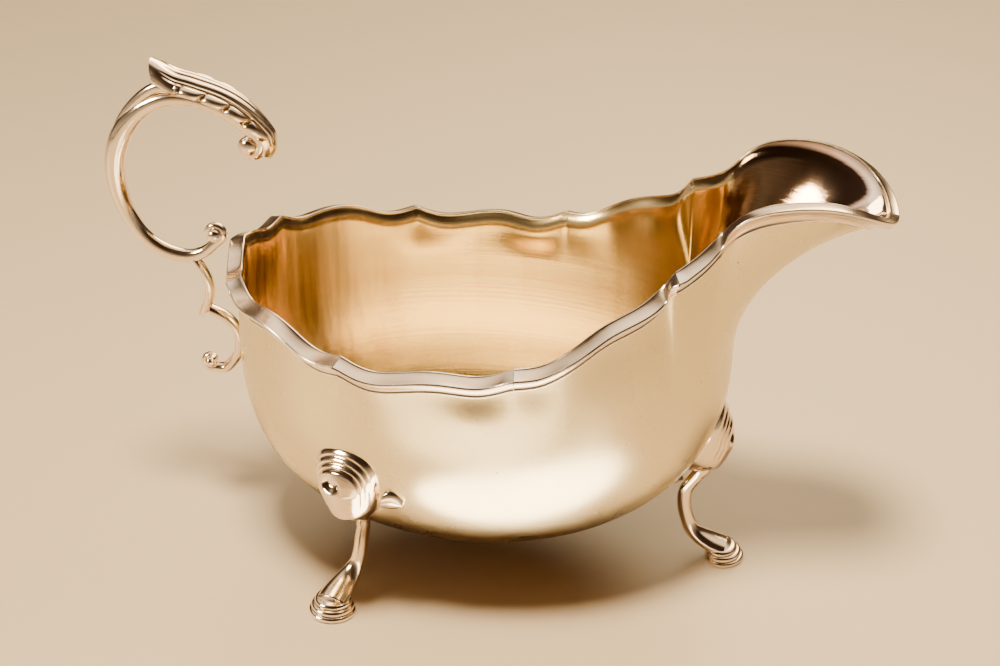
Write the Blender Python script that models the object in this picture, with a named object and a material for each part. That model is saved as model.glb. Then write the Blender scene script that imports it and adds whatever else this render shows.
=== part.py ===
"""A silver sauce boat: raised bowl, mitred rim border, scroll handle and three shell-kneed legs.

Lengths are in millimetres, and each mesh is scaled to metres as it is made. The spout points
along +X, +Z is up and the feet stand on z = 0. Pieces that are soldered together keep SOLDER_GAP.
"""

import math

import bmesh
import bpy
import numpy as np
from mathutils import Matrix, Vector
from mathutils.bvhtree import BVHTree

MM = 0.001
SOLDER_GAP = 0.3

# Bowl
BELLY_X = -2.1  # centre of the belly oval
BELLY_BACK = 56.7
BELLY_FRONT = 59.0
BELLY_HALF_WIDTH = 42.0
BELLY_Z = 56.0
BOTTOM_Z = 9.0
WALL = 1.0
FULLNESS_BACK = 2.65  # exponents of the curve from the belly down to the bottom
FULLNESS_SIDE = 2.45
FULLNESS_FRONT = 2.35
WALL_HANDLE_TOP = 0.28  # how far the wall keeps its slope below the border, by its height
WALL_HANDLE_BELLY = 0.49  # how far it keeps upright above the belly
SPOUT_TURN = 75.5  # how far from upright the wall leans at the spout's tip, in degrees
SPOUT_SLIMNESS = 0.20  # how much further it keeps upright under the spout
UPPER_RINGS = 6
LOWER_RINGS = 6

# Border
BORDER_WIDTH = 3.7
LIP_WIDTH = 2.3
BORDER_FALL = 0.33  # drop of the flange for each millimetre of its width
BORDER_THICK = 1.2
BORDER_DEPTH = 4.4
COVE = 0.55
LIP_DEEPER = 0.9  # how much deeper the border's edge is at the tip

# The rim's inner edge on one side, a curve for each length of border, from the handle to the tip
RIM_BACK = ((-57.3, 0, 77.4), (-56.2, 5.0, 76.5), (-55.0, 10.5, 74.5), (-53.3, 16.3, 75.3))
RIM_REAR = (
    (-53.3, 16.3, 75.3), (-50.0, 20.8, 72.9), (-44.2, 26.6, 73.2),
    (-37.6, 31.4, 71.9), (-31.2, 34.9, 69.2), (-24.9, 38.2, 69.8),
)
RIM_SIDE = (
    (-24.9, 38.2, 69.8), (-18.8, 39.4, 67.7), (-11.0, 40.3, 68.4),
    (-3.5, 40.4, 69.2), (5.0, 39.3, 68.4), (12.5, 39.2, 70.8),
)
RIM_SHOULDER = (
    (12.5, 39.2, 70.8), (17.5, 37.8, 71.2), (23.5, 36.3, 74.4),
    (30.0, 32.6, 78.9), (37.5, 28.0, 82.3), (41.8, 24.6, 85.6), (44.2, 24.2, 88.8),
)
RIM_LIP = (
    (44.2, 24.2, 88.8), (48.6, 20.9, 91.4), (52.9, 17.6, 95.2), (58.2, 17.5, 100.3), (66.8, 17.2, 103.1),
    (76.0, 15.2, 102.7), (83.0, 12.2, 99.9), (86.8, 7.2, 96.7), (88.0, 0, 94.9),
)
RIM_SEGMENTS = {"back": 4, "rear": 8, "side": 8, "shoulder": 10, "lip": 14}

# Handle, seen from the side: x is measured from the border's back edge, z from the rim's back
BAR_CENTRE = (
    (-6.2, -5.0), (-9.6, -6.4), (-13.8, -6.2), (-18.2, -4.4), (-22.0, -0.8), (-25.0, 5.2), (-26.3, 12.2),
    (-25.4, 19.6), (-21.8, 26.4), (-16.0, 31.2), (-10.0, 33.0), (-4.0, 32.4), (1.2, 30.5), (5.6, 27.6),
)
BAR_RADIUS = (1.3, 1.5, 1.6, 1.6, 1.7, 2.0, 2.2, 2.3, 2.1, 1.75, 1.5, 1.45, 1.45, 1.4)
BAR_RIDGE = 1.12  # how far the bar's outer ridge stands out, by its radius
RIM_VOLUTE = (-3.3, -0.2)
RIM_VOLUTE_RADIUS = 2.1
TOP_VOLUTE = (6.6, 22.8)
TOP_VOLUTE_RADIUS = 3.1
EYE_RADIUS = 1.9
EYE_HALF_WIDTH = 2.6
SPINE = ((-27.2, 19.0), (-24.6, 25.4), (-20.4, 30.6), (-16.6, 34.0))
SPINE_RADIUS = 1.1
LEAF_START = 2.8  # beyond the bar's end, round the top volute
LEAF_LENGTH = 26.8
# The leaf from the volute to its tip: share of its length, half width, then the heights over the bar's
# middle of its crown and its edges, and the hollow over the bar.
LEAF_SECTIONS = (
    (0.0, 2.4, 3.3, 0.9, 0.0), (0.15, 3.6, 5.0, 1.2, 0.4), (0.4, 4.8, 5.6, 2.0, 0.6), (0.7, 5.6, 5.8, 2.6, 0.8),
    (0.88, 5.6, 6.6, 3.0, 1.8), (1.0, 4.2, 10.2, 5.0, 5.4),
)
LEAF_EDGE = 0.8
LOWER_SCROLL = ((-6.2, -20.4), (-3.4, -21.6), (-0.8, -23.8), (0.5, -28.0), (-0.5, -32.4), (-3.6, -36.3))
LOWER_SCROLL_RADIUS = 1.25
LOWER_VOLUTE = (-7.2, -34.6)
LOWER_VOLUTE_RADIUS = 1.9
LOWER_EYE_RADIUS = 1.3
BRACKET_BULGE = 1.7
BRACKET_RADIUS = 1.2
SPUR = (-9.1, -22.3)

# Legs: the shank runs out from the foot's centre, (outward, sideways, up as a share of the knee's height)
FRONT_SHANK = (
    (-6.6, 0, 0.698), (-8.0, 0, 0.633), (-9.4, 0, 0.559), (-9.9, 0, 0.450), (-8.9, 0, 0.302),
    (-6.6, 0, 0.184), (-3.2, 0, 0.124), (0.3, 0, 0.086),
)
REAR_SHANK = (
    (-7.0, 5.2, 0.667), (-7.9, 4.8, 0.593), (-9.1, 3.8, 0.481), (-9.5, 3.0, 0.368), (-8.9, 2.1, 0.240),
    (-6.5, 1.0, 0.158), (-3.2, 0.3, 0.113), (0.3, 0, 0.082),
)
SHANK_RADIUS = (1.75, 1.65)
FOOT_HALF_WIDTH = 5.6
FOOT_HALF_LENGTH = 5.3
FOOT_STEPS = ((1.0, 0.0), (1.0, 1.3), (0.86, 1.7), (0.86, 2.7), (0.7, 3.2), (0.66, 4.0))
FRONT_FOOT_OUT = 0.9  # beyond the belly's front
REAR_FOOT_ANGLE = 232.5  # where the rear feet are, seen from the belly's middle
REAR_FOOT_OUT = 0.5  # beyond the belly there
REAR_LEG_FACING = 257.0
FRONT_KNEE_RISE = 0.5277  # its share of the way up from the bowl's bottom to its belly
REAR_KNEE_RISE = 0.5617
REAR_KNEE_ANGLE = 237.6
KNEE_LEAN = 5.0
KNEE_HALF_LENGTH = 10.2
KNEE_HALF_WIDTH = 9.3
KNEE_EDGE = 0.9
KNEE_BOSS = 6.2
KNEE_PROFILE = ((-1.0, -0.45, 0.2, 0.7, 1.0), (0.45, 1.0, 0.9, 0.45, 0.1))  # its height from root to top
FRONT_TAB_LENGTH = 6.5
REAR_TAB_LENGTH = 4.4
TAB_HALF_WIDTH = 3.0
FRONT_TAB_THICK = 3.4
REAR_TAB_THICK = 2.0
FRONT_TAB_DOWN = 13.4  # from the knee's middle, along the bowl
REAR_TAB_OVER = 8.3
REAR_TAB_DOWN = 2.6

SILVER = ((0.86, 0.78, 0.66, 1.0), 0.22)
POLISHED = ((0.90, 0.82, 0.72, 1.0), 0.12)


def material(name, colour, roughness):
    made = bpy.data.materials.new(name)
    made.use_nodes = True
    shader = made.node_tree.nodes["Principled BSDF"]
    shader.inputs["Base Color"].default_value = colour
    shader.inputs["Metallic"].default_value = 1.0
    shader.inputs["Roughness"].default_value = roughness
    return made


def mesh_object(name, points, faces, finish=POLISHED):
    """An object with its own material, from points in millimetres and faces that point outwards."""
    mesh = bpy.data.meshes.new(name)
    mesh.from_pydata([tuple(np.asarray(p) * MM) for p in points], [], faces)
    shape = bmesh.new()
    shape.from_mesh(mesh)
    bmesh.ops.recalc_face_normals(shape, faces=shape.faces)
    bmesh.ops.triangulate(shape, faces=shape.faces)
    shape.to_mesh(mesh)
    shape.free()
    mesh.shade_smooth()
    mesh.set_sharp_from_angle(angle=math.radians(40))
    made = bpy.data.objects.new(name, mesh)
    made.data.materials.append(material(name + "_silver", *finish))
    bpy.context.scene.collection.objects.link(made)
    return made


def as_helper(shape):
    shape.hide_render = True
    shape.display_type = "WIRE"
    return shape


def boolean(shape, other, operation):
    change = shape.modifiers.new(operation.lower(), "BOOLEAN")
    change.operation = operation
    change.object = as_helper(other)
    return shape


def smooth_curve(points, segments):
    """Points along a natural cubic spline through the given ones, ends included."""
    points = np.array(points, float)
    knots = np.r_[0, np.cumsum(np.linalg.norm(np.diff(points, axis=0), axis=1))]
    step = np.diff(knots)
    count = len(points)
    matrix = np.eye(count)
    right = np.zeros_like(points)
    for i in range(1, count - 1):
        matrix[i, i - 1 : i + 2] = step[i - 1], 2 * (step[i - 1] + step[i]), step[i]
        slopes = (points[i + 1] - points[i]) / step[i] - (points[i] - points[i - 1]) / step[i - 1]
        right[i] = 6 * slopes
    bend = np.linalg.solve(matrix, right)
    made = []
    for at in np.linspace(0, knots[-1], segments + 1):
        i = min(int(np.searchsorted(knots, at, side="right")) - 1, count - 2)
        a = (knots[i + 1] - at) / step[i]
        b = 1 - a
        curved = ((a**3 - a) * bend[i] + (b**3 - b) * bend[i + 1]) * step[i] ** 2 / 6
        made.append(a * points[i] + b * points[i + 1] + curved)
    return np.array(made)


def unit(vector):
    return vector / np.linalg.norm(vector)


# ---------------------------------------------------------------- rim stations


def rim_stations():
    """Half the rim, from the middle of the back to the tip: points, outward directions, lengths' ends."""
    curves = {
        "back": RIM_BACK, "rear": RIM_REAR, "side": RIM_SIDE, "shoulder": RIM_SHOULDER, "lip": RIM_LIP,
    }
    points = []
    ends = {}
    for name, curve in curves.items():
        run = smooth_curve(curve, RIM_SEGMENTS[name])
        first = max(len(points) - 1, 0)
        points += list(run if not points else run[1:])
        ends[name] = (first, len(points) - 1)
    return np.array(points), ends


def whole_ring(half, flip):
    """A half ring and its mirror image, as one loop from the back round the +Y side to the tip and back."""
    mirrored = half[-2:0:-1] * flip
    return np.concatenate([half, mirrored])


def outward_directions(points):
    """Level directions square to the rim in plan, the mitre's at each cusp."""
    after = np.roll(points, -1, axis=0)
    before = np.roll(points, 1, axis=0)
    made = []
    for here, ahead, behind in zip(points, after, before):
        along_a = unit((here - behind)[:2])
        along_b = unit((ahead - here)[:2])
        side_a = np.array([-along_a[1], along_a[0]])
        side_b = np.array([-along_b[1], along_b[0]])
        mitre = (side_a + side_b) / (1 + side_a @ side_b)
        made.append((mitre[0], mitre[1], 0.0))
    return np.array(made)


class Rim:
    """The closed loop of rim stations with the wall's slope and thickness direction at each."""

    def __init__(self):
        half, self.ends = rim_stations()
        self.half_count = len(half)
        self.inner = whole_ring(half, np.array([1, -1, 1]))
        self.count = len(self.inner)
        self.out = outward_directions(self.inner)
        first, last = self.ends["lip"]
        lip = np.linalg.norm(np.diff(half[first : last + 1], axis=0), axis=1)
        share = np.zeros(len(half))
        share[first : last + 1] = np.r_[0, np.cumsum(lip)] / lip.sum()
        self.lip_share = whole_ring(share[:, None], 1)[:, 0]
        lean = np.radians(SPOUT_TURN) * self.lip_share**1.72
        self.down = -self.out * np.sin(lean)[:, None] - np.outer(np.cos(lean), (0, 0, 1))
        self.thick = self.out * np.cos(lean)[:, None] - np.outer(np.sin(lean), (0, 0, 1))
        width = BORDER_WIDTH + (LIP_WIDTH - BORDER_WIDTH) * np.minimum(self.lip_share / 0.35, 1)
        self.width = width
        self.wall_top = self.inner + self.down * (BORDER_THICK + SOLDER_GAP) + self.thick * WALL
        self.wall_foot = self.inner + self.down * BORDER_DEPTH + self.thick * WALL

    def belly_angles(self):
        """The angle round the belly oval that each station's wall runs down to."""
        made = np.empty(self.count)
        half = self.half_count
        start = self.ends["lip"][0]
        for i in range(half):
            x, y, _ = self.inner[i]
            reach = BELLY_BACK if x < BELLY_X else BELLY_FRONT
            made[i] = math.atan2(y / BELLY_HALF_WIDTH, (x - BELLY_X) / reach)
        for i in range(start, half):
            made[i] = made[start] * (1 - self.lip_share[i])
        for i in range(half, self.count):
            made[i] = -made[self.count - i]
        return made


# ---------------------------------------------------------------- bowl


def belly_point(angle):
    reach = BELLY_BACK if math.cos(angle) < 0 else BELLY_FRONT
    return np.array([BELLY_X + reach * math.cos(angle), BELLY_HALF_WIDTH * math.sin(angle), BELLY_Z])


def wall_run(rim, station, angle):
    """Points down the bowl's outer wall, from under the border to just above the bottom's middle."""
    top = rim.wall_foot[station]
    belly = belly_point(angle)
    drop = np.linalg.norm(top - belly)
    lip = rim.lip_share[station]
    above = top[2] - belly[2]
    first = top + rim.down[station] * drop * (WALL_HANDLE_TOP + SPOUT_SLIMNESS * lip * 0.35)
    second = belly + np.array([0, 0, above * (WALL_HANDLE_BELLY + SPOUT_SLIMNESS * lip)])
    run = [rim.wall_top[station]]
    for step in range(UPPER_RINGS + 1):
        t = step / UPPER_RINGS
        blend = np.array([(1 - t) ** 3, 3 * t * (1 - t) ** 2, 3 * t * t * (1 - t), t**3])
        run.append(blend @ np.array([top, first, second, belly]))
    cosine = math.cos(angle)
    end = FULLNESS_BACK if cosine < 0 else FULLNESS_FRONT
    fullness = FULLNESS_SIDE + (end - FULLNESS_SIDE) * cosine**2
    middle = np.array([BELLY_X, 0, BELLY_Z])
    for step in range(1, LOWER_RINGS):
        turn = math.pi / 2 * step / LOWER_RINGS
        reach = math.cos(turn) ** (2 / fullness)
        fall = math.sin(turn) ** (2 / fullness)
        point = middle + (belly - middle) * reach
        point[2] = BELLY_Z - (BELLY_Z - BOTTOM_Z) * fall
        run.append(point)
    return run


def outer_surface(rim):
    """The bowl's outer wall as rings of points from the top down, one point for each station."""
    angles = rim.belly_angles()
    runs = [wall_run(rim, i, angles[i]) for i in range(rim.count)]
    return np.array(runs).transpose(1, 0, 2)


def surface_normals(rings, pole):
    """Outward directions at each point of the rings, from the faces round it."""
    ahead = np.roll(rings, -1, axis=1) - np.roll(rings, 1, axis=1)
    below = np.concatenate([rings[1:], np.broadcast_to(pole, rings[:1].shape)])
    above = np.concatenate([rings[:1], rings[:-1]])
    across = np.cross(ahead, below - above)
    return across / np.linalg.norm(across, axis=2, keepdims=True)


def ring_faces(first, second, count):
    """Quads between two rings of points numbered from first and from second."""
    return [
        (first + i, first + (i + 1) % count, second + (i + 1) % count, second + i) for i in range(count)
    ]


def closed_rings(rings, pole):
    """Points and faces of a cup: its rings, and a fan to the pole below the last one."""
    count = rings.shape[1]
    points = list(rings.reshape(-1, 3)) + [pole]
    faces = []
    for k in range(len(rings) - 1):
        faces += ring_faces(k * count, (k + 1) * count, count)
    last = (len(rings) - 1) * count
    faces += [(last + i, last + (i + 1) % count, len(points) - 1) for i in range(count)]
    return points, faces


def make_bowl(rim):
    rings = outer_surface(rim)
    pole = np.array([BELLY_X, 0, BOTTOM_Z])
    normals = surface_normals(rings, pole)
    if normals[3, 0, 0] > 0:
        normals = -normals
    normals[0] = rim.thick
    normals[1] = rim.thick
    outer, faces = closed_rings(rings, pole)
    inner_rings = rings - normals * WALL
    inner, inner_faces = closed_rings(inner_rings, pole + np.array([0, 0, WALL]))
    shift = len(outer)
    faces += [tuple(shift + i for i in reversed(face)) for face in inner_faces]
    count = rim.count
    faces += ring_faces(shift, 0, count)
    mesh_object("bowl", outer + inner, faces, SILVER)
    clear = rings + normals * SOLDER_GAP
    points, faces = closed_rings(clear, pole - np.array([0, 0, SOLDER_GAP]))
    cap = len(points)
    points.append(np.array([0, 0, clear[0][:, 2].mean()]))
    faces += [((i + 1) % count, i, cap) for i in range(count)]
    clearance = as_helper(mesh_object("bowl_clearance", points, faces))
    return BVHTree.FromPolygons([Vector(p) for p in points], faces), clearance


# ---------------------------------------------------------------- border


def border_section(rim, i):
    """One station's outline of the border: flange, cove, foot on the wall and the step over its top."""
    here, out, down, thick = rim.inner[i], rim.out[i], rim.down[i], rim.thick[i]
    width = rim.width[i]
    drop = np.array([0, 0, -1.0])
    corner = here + out * width + drop * width * BORDER_FALL
    foot = rim.wall_foot[i] + thick * SOLDER_GAP
    under = corner + drop * (1.0 + LIP_DEEPER * rim.lip_share[i]) - out * 0.15
    shelf = foot + thick * 0.7
    hollow = (under + shelf) / 2 - out * COVE - drop * COVE * 0.6
    step = rim.wall_top[i] + thick * SOLDER_GAP - down * SOLDER_GAP
    inside = here + down * BORDER_THICK
    return np.array([here, corner, under, hollow, shelf, foot, step, inside])


def make_border_length(name, rim, stations):
    """One mitred length, cut back by half the solder gap at each end."""
    sections = [border_section(rim, i) for i in stations]
    for end, inward in ((0, 1), (-1, -2)):
        reach = np.linalg.norm(sections[inward][0] - sections[end][0])
        share = SOLDER_GAP / 2 / reach * 1.15
        sections[end] = sections[end] + (sections[inward] - sections[end]) * share
    around = len(sections[0])
    points = [p for section in sections for p in section]
    faces = []
    for k in range(len(sections) - 1):
        faces += ring_faces(k * around, (k + 1) * around, around)
    faces.append(tuple(range(around)))
    faces.append(tuple(reversed(range(len(points) - around, len(points)))))
    mesh_object(name, points, faces)


def make_border(rim):
    last = rim.ends["back"][1]
    make_border_length("border_back", rim, [i % rim.count for i in range(-last, last + 1)])
    for length in ("rear", "side", "shoulder", "lip"):
        start, end = rim.ends[length]
        left = list(range(start, end + 1))
        right = [(-i) % rim.count for i in left]
        make_border_length("border_left_" + length, rim, left)
        make_border_length("border_right_" + length, rim, right[::-1])


# ---------------------------------------------------------------- swept bars


def sweep(name, path, radii, side=None, around=8, outline=None):
    """A bar along a path: radii across it, a width for each radius along side, and flat ends."""
    path = np.array(path, float)
    radii = np.broadcast_to(np.asarray(radii, float), len(path))
    side = np.array([0, 1.0, 0]) if side is None else np.array(side, float)
    turns = np.arange(around) * 2 * math.pi / around + math.pi / around
    outline = outline or (lambda turn: (math.cos(turn), math.sin(turn)))
    points = []
    for i, here in enumerate(path):
        along = unit(path[min(i + 1, len(path) - 1)] - path[max(i - 1, 0)])
        across = unit(np.cross(side, along))
        level = np.cross(along, across)
        for turn in turns:
            a, b = outline(turn)
            points.append(here + (across * a + level * b) * radii[i])
    faces = []
    for k in range(len(path) - 1):
        faces += ring_faces(k * around, (k + 1) * around, around)
    faces.append(tuple(range(around)))
    faces.append(tuple(reversed(range(len(points) - around, len(points)))))
    return mesh_object(name, points, faces)


def in_plane(points, datum):
    """(x, z) pairs measured from the datum, as points of the plane y = 0."""
    return [(datum[0] + x, 0.0, datum[2] + z) for x, z in points]


def curl(centre, radius, start, turn, shrink, steps):
    """(x, z) pairs of a spiral round a centre; start and turn are in degrees."""
    made = []
    for k in range(steps + 1):
        share = k / steps
        angle = math.radians(start + turn * share)
        reach = radius * (1 - shrink * share)
        made.append((centre[0] + reach * math.cos(angle), centre[1] + reach * math.sin(angle)))
    return made


def eye(name, centre, radius, half_width):
    """The button at the middle of a volute, with rounded ends."""
    x, _, z = centre
    rounding = ((-1.0, 0.45), (-0.8, 0.85), (-0.5, 1.0), (0.5, 1.0), (0.8, 0.85), (1.0, 0.45))
    path = [(x, y * half_width, z) for y, _ in rounding]
    return sweep(name, path, [radius * r for _, r in rounding], side=(1, 0, 0), around=10)


def ridge_outline(turn):
    """A round bar with a raised ridge along its outer side."""
    return (math.cos(turn) * BAR_RIDGE, math.sin(turn))


def handle_datum(rim):
    width = rim.width[0]
    return rim.inner[0] + rim.out[0] * width


def bar_path(datum):
    """The main scroll: lower volute, bar and upper volute, with a radius at each point."""
    lower = curl(RIM_VOLUTE, RIM_VOLUTE_RADIUS, 165, -240, 0.12, 8)
    upper = curl(TOP_VOLUTE, TOP_VOLUTE_RADIUS, 35, -205, 0.2, 7)
    bar = smooth_curve([(x, 0, z) for x, z in BAR_CENTRE], 30)
    share = np.linspace(0, 1, len(BAR_RADIUS))
    bar_radii = np.interp(np.linspace(0, 1, len(bar)), share, BAR_RADIUS)
    pairs = lower + [(x, z) for x, _, z in bar] + upper
    radii = list(np.linspace(0.75, 1.05, len(lower))) + list(bar_radii)
    radii += list(np.linspace(1.35, 0.85, len(upper)))
    return in_plane(pairs, datum), radii


def make_scroll(datum):
    path, radii = bar_path(datum)
    bar = sweep("handle_scroll", path, radii, outline=ridge_outline)
    for name, centre, radius in (
        ("rim_eye", RIM_VOLUTE, EYE_RADIUS * 0.85), ("top_eye", TOP_VOLUTE, EYE_RADIUS),
    ):
        boolean(bar, eye(name, in_plane([centre], datum)[0], radius, EYE_HALF_WIDTH), "UNION")
    spine = smooth_curve([(x, 0, z) for x, z in SPINE], 6)
    spine_path = in_plane([(x, z) for x, _, z in spine], datum)
    boolean(bar, sweep("spine", spine_path, SPINE_RADIUS, around=6), "UNION")
    return path, radii


def make_leaf(path, radii):
    """The acanthus leaf: a saddle over the bar that leaves it at the end and turns up."""
    path = np.array(path)
    lengths = np.r_[0, np.cumsum(np.linalg.norm(np.diff(path, axis=0), axis=1))]
    start = lengths[-8] + LEAF_START
    steps = 16
    spread = np.linspace(-math.pi / 2, math.pi / 2, 9)
    table = np.array(LEAF_SECTIONS)
    points = []
    for k in range(steps + 1):
        share = k / steps
        at = start - LEAF_LENGTH * share
        here = np.array([np.interp(at, lengths, path[:, axis]) for axis in range(3)])
        behind = np.array([np.interp(at - 1.5, lengths, path[:, axis]) for axis in range(3)])
        up = unit(np.cross(here - behind, (0, 1.0, 0)))
        half, crown, edge, hollow = (np.interp(share, table[:, 0], table[:, i]) for i in range(1, 5))
        inner_top = np.interp(at, lengths, radii) * BAR_RIDGE + SOLDER_GAP + hollow
        inner_half = half - LEAF_EDGE
        low = min(edge, inner_top)
        side = np.array([0, 1.0, 0])
        inside = [
            here + side * inner_half * math.sin(a) + up * (low + (inner_top - low) * math.cos(a)) for a in spread
        ]
        outside = [
            here + side * half * math.sin(a) + up * (edge + (crown - edge) * math.cos(a)) for a in spread[::-1]
        ]
        points += inside + outside
    around = 2 * len(spread)
    faces = []
    for k in range(steps):
        faces += ring_faces(k * around, (k + 1) * around, around)
    faces.append(tuple(range(around)))
    faces.append(tuple(reversed(range(len(points) - around, len(points)))))
    mesh_object("handle_leaf", points, faces)


def strap_outline(turn):
    """A flat strap with rounded edges, wider than it is thick."""
    return (math.copysign(abs(math.cos(turn)) ** 0.6, math.cos(turn)), 1.35 * math.sin(turn))


def make_lower_scroll(datum, clearance):
    run = smooth_curve([(x, 0, z) for x, z in LOWER_SCROLL], 14)
    pairs = [(x, z) for x, _, z in run] + curl(LOWER_VOLUTE, LOWER_VOLUTE_RADIUS, -60, -215, 0.15, 7)
    radii = [LOWER_SCROLL_RADIUS] * len(run) + list(np.linspace(1.1, 0.7, 8))
    scroll = sweep("handle_lower_scroll", in_plane(pairs, datum), radii, outline=strap_outline)
    centre = in_plane([LOWER_VOLUTE], datum)[0]
    boolean(scroll, eye("lower_eye", centre, LOWER_EYE_RADIUS, 2.2), "UNION")
    boolean(scroll, clearance, "DIFFERENCE")


def make_bracket(datum, path, radii):
    """The strut from the main scroll's underside down to the lower scroll, and its spur."""
    path = np.array(path)
    top_x = datum[0] - 9.2
    low = [i for i in range(len(path)) if path[i][2] < datum[2] and path[i][0] < datum[0] - 5.5]
    nearest = min(low, key=lambda i: abs(path[i][0] - top_x))
    top = path[nearest] - np.array([0, 0, radii[nearest] * BAR_RIDGE + SOLDER_GAP + 0.1])
    bottom = np.array([datum[0] + LOWER_SCROLL[0][0] - LOWER_SCROLL_RADIUS - SOLDER_GAP - 0.2, 0,
                       datum[2] + LOWER_SCROLL[0][1]])
    middle = (top + bottom) / 2 + np.array([BRACKET_BULGE + 0.6, 0, 0])
    run = list(smooth_curve([top, middle, bottom], 8))
    run.append(np.array([datum[0] + SPUR[0], 0, datum[2] + SPUR[1]]))
    radii = [BRACKET_RADIUS * 0.85] + [BRACKET_RADIUS] * 7 + [BRACKET_RADIUS * 0.9, BRACKET_RADIUS * 0.35]
    sweep("handle_bracket", run, radii, outline=strap_outline)


# ---------------------------------------------------------------- legs


def leg_frame(facing):
    """The outward and sideways directions of a leg that faces this way, in degrees."""
    angle = math.radians(facing)
    return np.array([math.cos(angle), math.sin(angle), 0]), np.array([-math.sin(angle), math.cos(angle), 0])


def make_leg(name, foot, facing, shank, mirror):
    """The curved shank and the stepped round foot that it ends in."""
    out, side = leg_frame(facing)
    side = side * mirror
    run = smooth_curve(shank, 14)
    path = [np.array([foot[0], foot[1], 0]) + out * r + side * t + np.array([0, 0, z]) for r, t, z in run]
    radii = np.linspace(SHANK_RADIUS[0], SHANK_RADIUS[1], len(path))
    leg = sweep(name, path, radii, side=side, around=10)
    around = 20
    points = []
    for reach, height in FOOT_STEPS:
        for k in range(around):
            angle = 2 * math.pi * k / around
            back = 1 - 0.25 * max(0, -math.cos(angle))
            shift = out * FOOT_HALF_LENGTH * (1 - reach) * -0.6
            level = out * math.cos(angle) * FOOT_HALF_LENGTH * back
            level = (level + side * math.sin(angle) * FOOT_HALF_WIDTH) * reach
            points.append(np.array([foot[0], foot[1], height]) + level + shift)
    faces = []
    for k in range(len(FOOT_STEPS) - 1):
        faces += ring_faces(k * around, (k + 1) * around, around)
    faces.append(tuple(range(around)))
    faces.append(tuple(reversed(range(len(points) - around, len(points)))))
    boolean(leg, mesh_object(name + "_foot", points, faces), "UNION")
    return leg, path


def on_bowl(tree, point, direction):
    """Where a line meets the bowl's outside, a solder gap clear of it."""
    hit = tree.ray_cast(Vector(point), Vector(direction))[0]
    return np.array(hit)


def bowl_normal(tree, point, out):
    normal = np.array(tree.find_nearest(Vector(point))[1])
    return normal if normal @ out > 0 else -normal


class Knee:
    """Where a knee shell sits: its middle on the bowl and the directions out of, across and up it."""

    def __init__(self, tree, angle, height, lean):
        out = np.array([math.cos(math.radians(angle)), math.sin(math.radians(angle)), 0])
        self.middle = on_bowl(tree, np.array([BELLY_X, 0, height]) + out * 100, -out)
        self.facing = bowl_normal(tree, self.middle, out)
        level = unit(np.cross((0, 0, 1.0), self.facing))
        rise = np.cross(self.facing, level)
        turn = math.radians(lean)
        self.across = level * math.cos(turn) + rise * math.sin(turn)
        self.upward = rise * math.cos(turn) - level * math.sin(turn)


def plate_faces(rows, columns):
    """Faces of a plate: its back and its front, each a grid with the same numbering, and its rim."""
    wide = columns + 1
    shift = wide * (rows + 1)
    faces = []
    for i in range(rows):
        for j in range(columns):
            a = i * wide + j
            faces.append((a, a + 1, a + wide + 1, a + wide))
            faces.append((shift + a, shift + a + wide, shift + a + wide + 1, shift + a + 1))
    edge = list(range(wide))
    edge += [i * wide + columns for i in range(1, rows + 1)]
    edge += [rows * wide + j for j in range(columns - 1, -1, -1)]
    edge += [i * wide for i in range(rows - 1, 0, -1)]
    faces += [(a, shift + a, shift + b, b) for a, b in zip(edge, edge[1:] + edge[:1])]
    return faces


def make_knee(name, tree, knee, leg_path):
    """The shell above a leg: a ribbed dome, and the neck that the leg's top is soldered to."""
    rows = columns = 12
    front = []
    back = []
    for i in range(rows + 1):
        q = -1 + 2 * i / rows
        fan = math.sqrt(1 - abs(q) ** 3) * (0.8 + 0.2 * q)
        half = max(KNEE_HALF_WIDTH * fan, 2.0)
        height = KNEE_BOSS * np.interp(q, *KNEE_PROFILE)
        for j in range(columns + 1):
            p = -1 + 2 * j / columns
            dome = max(1 - p * p, 0) ** 0.55
            rib = 0.22 * math.cos(3.0 * math.pi * math.hypot(p, max(q, 0))) * max(q + 0.4, 0)
            at = knee.middle + knee.across * p * half + knee.upward * q * KNEE_HALF_LENGTH
            base = on_bowl(tree, at + knee.facing * 14, -knee.facing)
            back.append(base)
            front.append(base + knee.facing * (KNEE_EDGE + dome * (height + rib)))
    shell = mesh_object(name, back + front, plate_faces(rows, columns))
    upward = unit(leg_path[0] - leg_path[1])
    socket = [leg_path[0] + upward * (SOLDER_GAP + 0.02)] + list(leg_path[1:8])
    cutter = sweep(name + "_socket", socket, SHANK_RADIUS[0] + 1.2 * SOLDER_GAP, side=knee.across, around=10)
    boolean(shell, cutter, "DIFFERENCE")
    end = leg_path[0] + upward * SOLDER_GAP
    inner = knee.middle - knee.upward * KNEE_HALF_LENGTH * 0.45 + knee.facing * 2.6
    throat = [end, end + upward * 0.6, (end + upward + inner) / 2, inner]
    boolean(shell, sweep(name + "_neck", throat, SHANK_RADIUS[0], side=knee.across, around=10), "UNION")
    return shell, cutter


def make_tab(name, tree, root, toward, knee, length, thickness):
    """The pointed leaf on the bowl beside a knee."""
    rows = 6
    low = []
    high = []
    side = unit(np.cross(knee.facing, toward))
    for i in range(rows + 1):
        share = i / rows
        half = TAB_HALF_WIDTH * math.sin(math.pi * (0.3 + 0.66 * share)) ** 0.8
        for j in (-1, 0, 1):
            at = root + toward * length * share + side * half * j
            base = on_bowl(tree, at + knee.facing * 14, -knee.facing)
            low.append(base)
            thick = thickness * (1.0 if j == 0 else 0.45)
            high.append(base + bowl_normal(tree, base, knee.facing) * thick)
    return mesh_object(name, low + high, plate_faces(rows, 2))


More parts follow.
